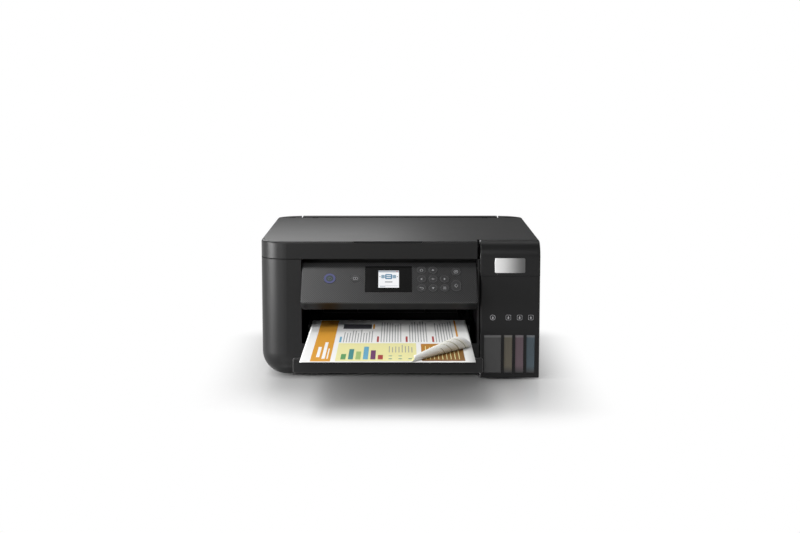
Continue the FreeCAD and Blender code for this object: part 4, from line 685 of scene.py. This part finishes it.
# printed page: an A4 sheet lying on the tray with its near right corner rolled up, and the page under it
page = {
    "width": 210.0, "length": 297.0, "left": -119.75, "near": -289.25, "height": 70.15, "thick": 0.12,
    "rollFront": 78.0, "rollSide": 104.0, "radiusFront": 3.0, "radiusSide": 10.5, "radiusLeast": 0.2,
    "wind": 0.12, "lower": 69.86, "grid": (106, 149), "lowerGrid": (22, 30),
}
paperLook = {
    "tone": 0.84, "fleck": 0.03, "tint": (1, 1, 0.985),
    "fibres": 1800.0, "fibreDetail": 4.0, "stretch": (1.0, 0.35, 1.0),
}


def onPage(across, along, lift=0.0):
    # up to the roll line the page is flat; past it a point winds on a spiral of radius start - wind * angle;
    # start grows along the line, and the length wound is start * angle - wind * angle squared / 2
    a, b = page["rollFront"], page["rollSide"]
    dx, dy = across - page["width"], along
    line = math.hypot(a, b)
    past = np.maximum((a * b + b * dx - a * dy) / line, 0.0)
    share = np.clip((a * (dx + a) + b * dy) / line / line, 0, 1)
    start = page["radiusFront"] + (page["radiusSide"] - page["radiusFront"]) * share
    wind = page["wind"]
    least = page["radiusLeast"] ** 2
    angle = (start - np.sqrt(np.maximum(start * start - 2 * wind * past, least))) / wind
    angle = np.where(past > 0, np.maximum(angle, 0), 0)
    radius = start - wind * angle - lift
    move = radius * np.sin(angle) - past
    x = page["left"] + across + b / line * move
    y = page["near"] + along - a / line * move
    z = page["height"] + np.where(past > 0, start - radius * np.cos(angle), lift)
    return np.stack((x, y, z), axis=-1)


def lowerPage(across, along, lift=0.0):  # flat: across and along from the near left corner, at one height
    height = np.full_like(across, page["lower"] + lift)
    return np.stack((page["left"] + across, page["near"] + along, height), axis=-1)


def pulpFibres(shade, place, made):  # long fibres in the pulp
    fibres = shade.noise(place, paperLook["fibres"], paperLook["fibreDetail"], paperLook["stretch"])
    pale = grey(paperLook["tone"], paperLook["tint"])
    fleck = grey(paperLook["tone"] - paperLook["fleck"], paperLook["tint"])
    made["height"] = fibres
    made["colour"] = fibres.mixed(fleck, pale)


paper = finish("pagePaper", {"roughness": 0.75, "specular": 0.2, "grainDepth": 0.00003}, pulpFibres)


def patch(left, right, near, far, columns, rows):  # across and along of a grid of points on a page
    return np.meshgrid(np.linspace(left, right, columns), np.linspace(near, far, rows))


def paperSheet(name, surface, columns, rows):
    points = surface(*patch(0, page["width"], 0, page["length"], columns, rows)).reshape(-1, 3)
    piece = makePiece(name, points, gridFaces(rows, columns), paper, "tray_leaf", smooth=True)
    thick = piece.modifiers.new("thickness", "SOLIDIFY")
    thick.thickness = page["thick"] * mm
    thick.offset = -1
    return piece


sheetTop = paperSheet("printed_page", onPage, *page["grid"])
sheetLower = paperSheet("lower_page", lowerPage, *page["lowerGrid"])
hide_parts("printed_sheet")

# what is printed: blocks of (left, right, near, far) in millimetres with a tone, then text lines
tones = {
    "orange": (0.66, 0.30, 0.018, 1), "cream": (0.78, 0.74, 0.36, 1), "brown": (0.44, 0.19, 0.016, 1),
    "white": (0.86, 0.86, 0.84, 1), "green": (0.10, 0.30, 0.10, 1), "teal": (0.05, 0.24, 0.24, 1),
    "blue": (0.12, 0.36, 0.52, 1), "red": (0.36, 0.03, 0.03, 1), "plum": (0.14, 0.03, 0.12, 1),
    "text": (0.31, 0.31, 0.32, 1), "dark": (0.03, 0.03, 0.04, 1), "leaf": (0.33, 0.46, 0.16, 1),
    "faded": (0.36, 0.33, 0.22, 1), "tan": (0.70, 0.66, 0.50, 1),
}
# painted shade: the page under the roll gets a darker brown, standing in for the shadow of the rolled corner
lowerTonesPaintedShade = {**tones, "brown": (0.22, 0.095, 0.010, 1)}  # a darker brown on the page under the roll
grounds = [
    (12, 36, 4, 292, "orange"), (42, 140, 6, 122, "cream"), (146, 198, 8, 118, "brown"),
    (193, 195.4, 128, 292, "orange"),
]
blocks = [
    (44, 82, 226, 262, "dark"), (83.5, 86, 226, 262, "orange"),
    (18, 22, 30, 96, "white"), (25, 29, 20, 128, "white"), (31, 32.5, 20, 86, "white"),
]
bars = {
    "left": 48, "step": 9, "wide": 6, "near": 16, "tops": (50, 82, 66, 98, 74, 44),
    "tones": ("green", "teal", "leaf", "blue", "plum", "red"),
}
for number, (top, tone) in enumerate(zip(bars["tops"], bars["tones"])):
    start = bars["left"] + number * bars["step"]
    blocks.append((start, start + bars["wide"], bars["near"], top, tone))
dice = np.random.default_rng(7)


# lines along the page, uneven at the far end
def raggedLines(left, right, step, width, near, far, ragged, tone):
    starts = np.arange(left, right, step)
    return [(start, start + width, near, far - float(dice.uniform(0, ragged)), tone) for start in starts]


columnsOfText = [  # left, right, near, far and the tone of the heading
    (42, 84, 128, 220, "blue"), (90, 122, 130, 285, "red"),
    (127, 157, 130, 285, "red"), (161, 188, 130, 285, "red"),
]
textLook = {"margin": 5, "step": 3.6, "width": 1.1, "ragged": 30, "headingWidth": 2.6, "headingLength": 40}
for left, right, near, far, tone in columnsOfText:
    first, step, width = left + textLook["margin"], textLook["step"], textLook["width"]
    blocks += raggedLines(first, right, step, width, near, far, textLook["ragged"], "text")
    blocks.append((left, left + textLook["headingWidth"], near, near + textLook["headingLength"], tone))
blocks += raggedLines(151, 196, step=5.0, width=0.9, near=18, far=106, ragged=16, tone="cream")
blocks += raggedLines(106, 136, step=4.0, width=1.0, near=60, far=112, ragged=20, tone="text")
dots = [(108, 20), (120, 20), (132, 20), (108, 38), (120, 38)]
backGrounds = [(134, 206, 4, 102, "tan")]  # the back shows where the corner is rolled up
backLines = raggedLines(138, 206, step=9.0, width=1.5, near=36, far=100, ragged=22, tone="faded")
printing = {
    "ground": 0.03, "over": 0.05, "backGround": 0.03, "backOver": 0.06, "cell": 2.5, "backCell": 2,
    "dotRadius": 2.4, "lowerFrom": 144,
}


def cells(side):  # points along one side of a printed block
    return max(2, int(side / printing["cell"]) + 1)


def printFront(surface, inks, fromLeft=0):
    marks = Marks()
    for lift, layer in ((printing["ground"], grounds), (printing["over"], blocks)):
        for left, right, near, far, tone in layer:
            if left > fromLeft:
                across, along = patch(left, right, near, far, cells(right - left), cells(far - near))
                marks.grid(surface(across, along, lift), inks[tone])
    for across, along in dots:
        if across > fromLeft:
            spot = ring(across, along, 0.0, printing["dotRadius"], count=20)
            marks.grid(surface(spot[..., 0], spot[..., 1], printing["over"])[::-1], inks["teal"])
    return marks


def printBack(marks):  # far before near, so that the faces look out of the page's back
    for lift, layer in ((printing["backGround"], backGrounds), (printing["backOver"], backLines)):
        for left, right, near, far, tone in layer:
            columns, rows = (max(2, int(side) // printing["backCell"]) for side in (right - left, far - near))
            across, along = patch(left, right, far, near, columns, rows)
            marks.grid(onPage(across, along, -(page["thick"] + lift)), tones[tone])


def inkPiece(name, marks):
    points, faces, colours = marks.gathered()
    return makePiece(name, points, faces, pageInk, "tray_leaf", smooth=True, colours=colours)


topMarks = printFront(onPage, tones)
printBack(topMarks)
topInk = inkPiece("page_print", topMarks)
lowerInk = inkPiece("lower_print", printFront(lowerPage, lowerTonesPaintedShade, printing["lowerFrom"]))
print("pages printed")

# stage, in metres: a pale floor that keeps the shadow near the object and is white farther off;
# the world is grey above and white near the horizon
stage = {
    "size": 60.0, "points": 25, "floor": 0.88, "mottle": 0.01, "mottleScale": 3.0,
    "wide": 0.145, "deep": (-0.22, 0.24), "edge": (0.0, 0.13),
    "gloss": (0.08, 0.5), "glossFade": (-0.34, -0.06), "roughness": 0.2,
}
sky = {"left": 0.50, "middle": 0.18, "right": 0.11, "strength": 1.0, "horizon": (0.041, 0.055)}


def backgroundRays(shade):  # 1 for rays that the camera, a mirror or glass sends
    outs = shade.add("LightPath").socket.node.outputs
    names = ("Is Camera Ray", "Is Glossy Ray", "Is Transmission Ray")
    seen, mirrored, passed = (Shade(shade.tree, outs[name]) for name in names)
    return (seen + mirrored + passed).maths("MINIMUM", 1.0)


def makeFloor():
    material, shade = blankMaterial("paleFloor")
    place = shade.add("TexCoord", out=3)
    x, y, z = place.parts()
    front, rear = stage["deep"]
    beside = (x.maths("ABSOLUTE") - stage["wide"]).maths("MAXIMUM", 0.0)
    beyond = ((y - (front + rear) / 2).maths("ABSOLUTE") - (rear - front) / 2).maths("MAXIMUM", 0.0)
    away = (beside * beside + beyond * beyond).maths("SQRT").rise(*stage["edge"])
    mottle = shade.noise(place, stage["mottleScale"])
    tone = mottle.mixed(grey(stage["floor"] - stage["mottle"]), grey(stage["floor"]))
    matt = shade.add("BsdfDiffuse", None, {"Color": tone})
    polish = shade.add("BsdfGlossy", None, {"Color": grey(1.0), "Roughness": stage["roughness"]})
    faint, strong = stage["gloss"]
    shine = y.rise(*stage["glossFade"]) * (strong - faint) + faint
    near = shade.add("MixShader", None, {0: shine, 1: matt, 2: polish})
    white = shade.add("Emission", None, {"Color": grey(1.0), "Strength": backgroundRays(shade)})
    shade.add("OutputMaterial", None, {0: shade.add("MixShader", None, {0: away, 1: near, 2: white})})
    return material


# floor: a flat grid, width across by depth
half, count = stage["size"] / 2, stage["points"]
line = np.linspace(-half, half, count)
points = np.stack((*np.meshgrid(line, line), np.zeros((count, count))), axis=-1)
mesh = bpy.data.meshes.new("floor")
mesh.from_pydata(points.reshape(-1, 3).tolist(), [], gridFaces(count, count).tolist())
mesh.materials.append(makeFloor())
floor = bpy.data.objects.new("floor", mesh)
scene.collection.objects.link(floor)

world = bpy.data.worlds.new("studio")
scene.world = world
world.use_nodes = True
world.node_tree.nodes.clear()
shade = Shade(world.node_tree)
x, y, z = shade.add("TexCoord", out=0).parts()  # direction of the ray
side = shade.add("ValToRGB", {
    "stops": [(0.0, grey(sky["left"])), (1.0, grey(sky["right"])), (0.5, grey(sky["middle"]))],
}, {0: x * 0.5 + 0.5})
low = 1 - z.rise(*sky["horizon"])
tone = (low * backgroundRays(shade)).mixed(side, grey(1.0))
backdrop = shade.add("Background", None, {"Color": tone, "Strength": sky["strength"]})
shade.add("OutputWorld", None, {0: backdrop})

lamps = {  # place, aim, size across and up, power, spread in degrees
    "leftSoftbox": ((-1.35, -0.42, 0.22), (-0.17, -0.03, 0.1), (0.7, 0.42), 26.0, 180),
    "frontKey": ((-0.7, -1.9, 1.5), (0.0, -0.12, 0.05), (1.7, 1.0), 25.5, 180),
    "frontLeft": ((-0.9, -1.6, 0.22), (-0.15, -0.05, 0.1), (0.4, 0.4), 5.0, 180),
    "panelGlow": ((-0.40, -0.26, 1.10), (-0.14, -0.03, 0.17), (0.40, 0.4), 3.4, 180),
    "topSoftbox": ((0.0, 1.0, 2.3), (0.0, 0.1, 0.0), (1.8, 1.0), 8.0, 180),
    "rearSheen": ((-0.50, 0.75, 0.62), (-0.23, -0.28, 0.18), (1.05, 0.25), 0.34, 43),
    "rightFill": ((2.1, 0.7, 0.85), (0.1, 0.1, 0.1), (1.2, 1.0), 13.0, 180),
}
for name, (spot, aim, size, power, spread) in lamps.items():
    light = bpy.data.lights.new(name, "AREA")
    light.shape = "RECTANGLE"
    light.size, light.size_y = size
    light.energy = power
    light.spread = math.radians(spread)
    lamp = bpy.data.objects.new(name, light)
    lamp.location = spot
    toward = Vector(aim) - Vector(spot)
    lamp.rotation_euler = toward.to_track_quat("-Z", "Y").to_euler()
    lamp.visible_camera = False
    scene.collection.objects.link(lamp)
print("stage lit")
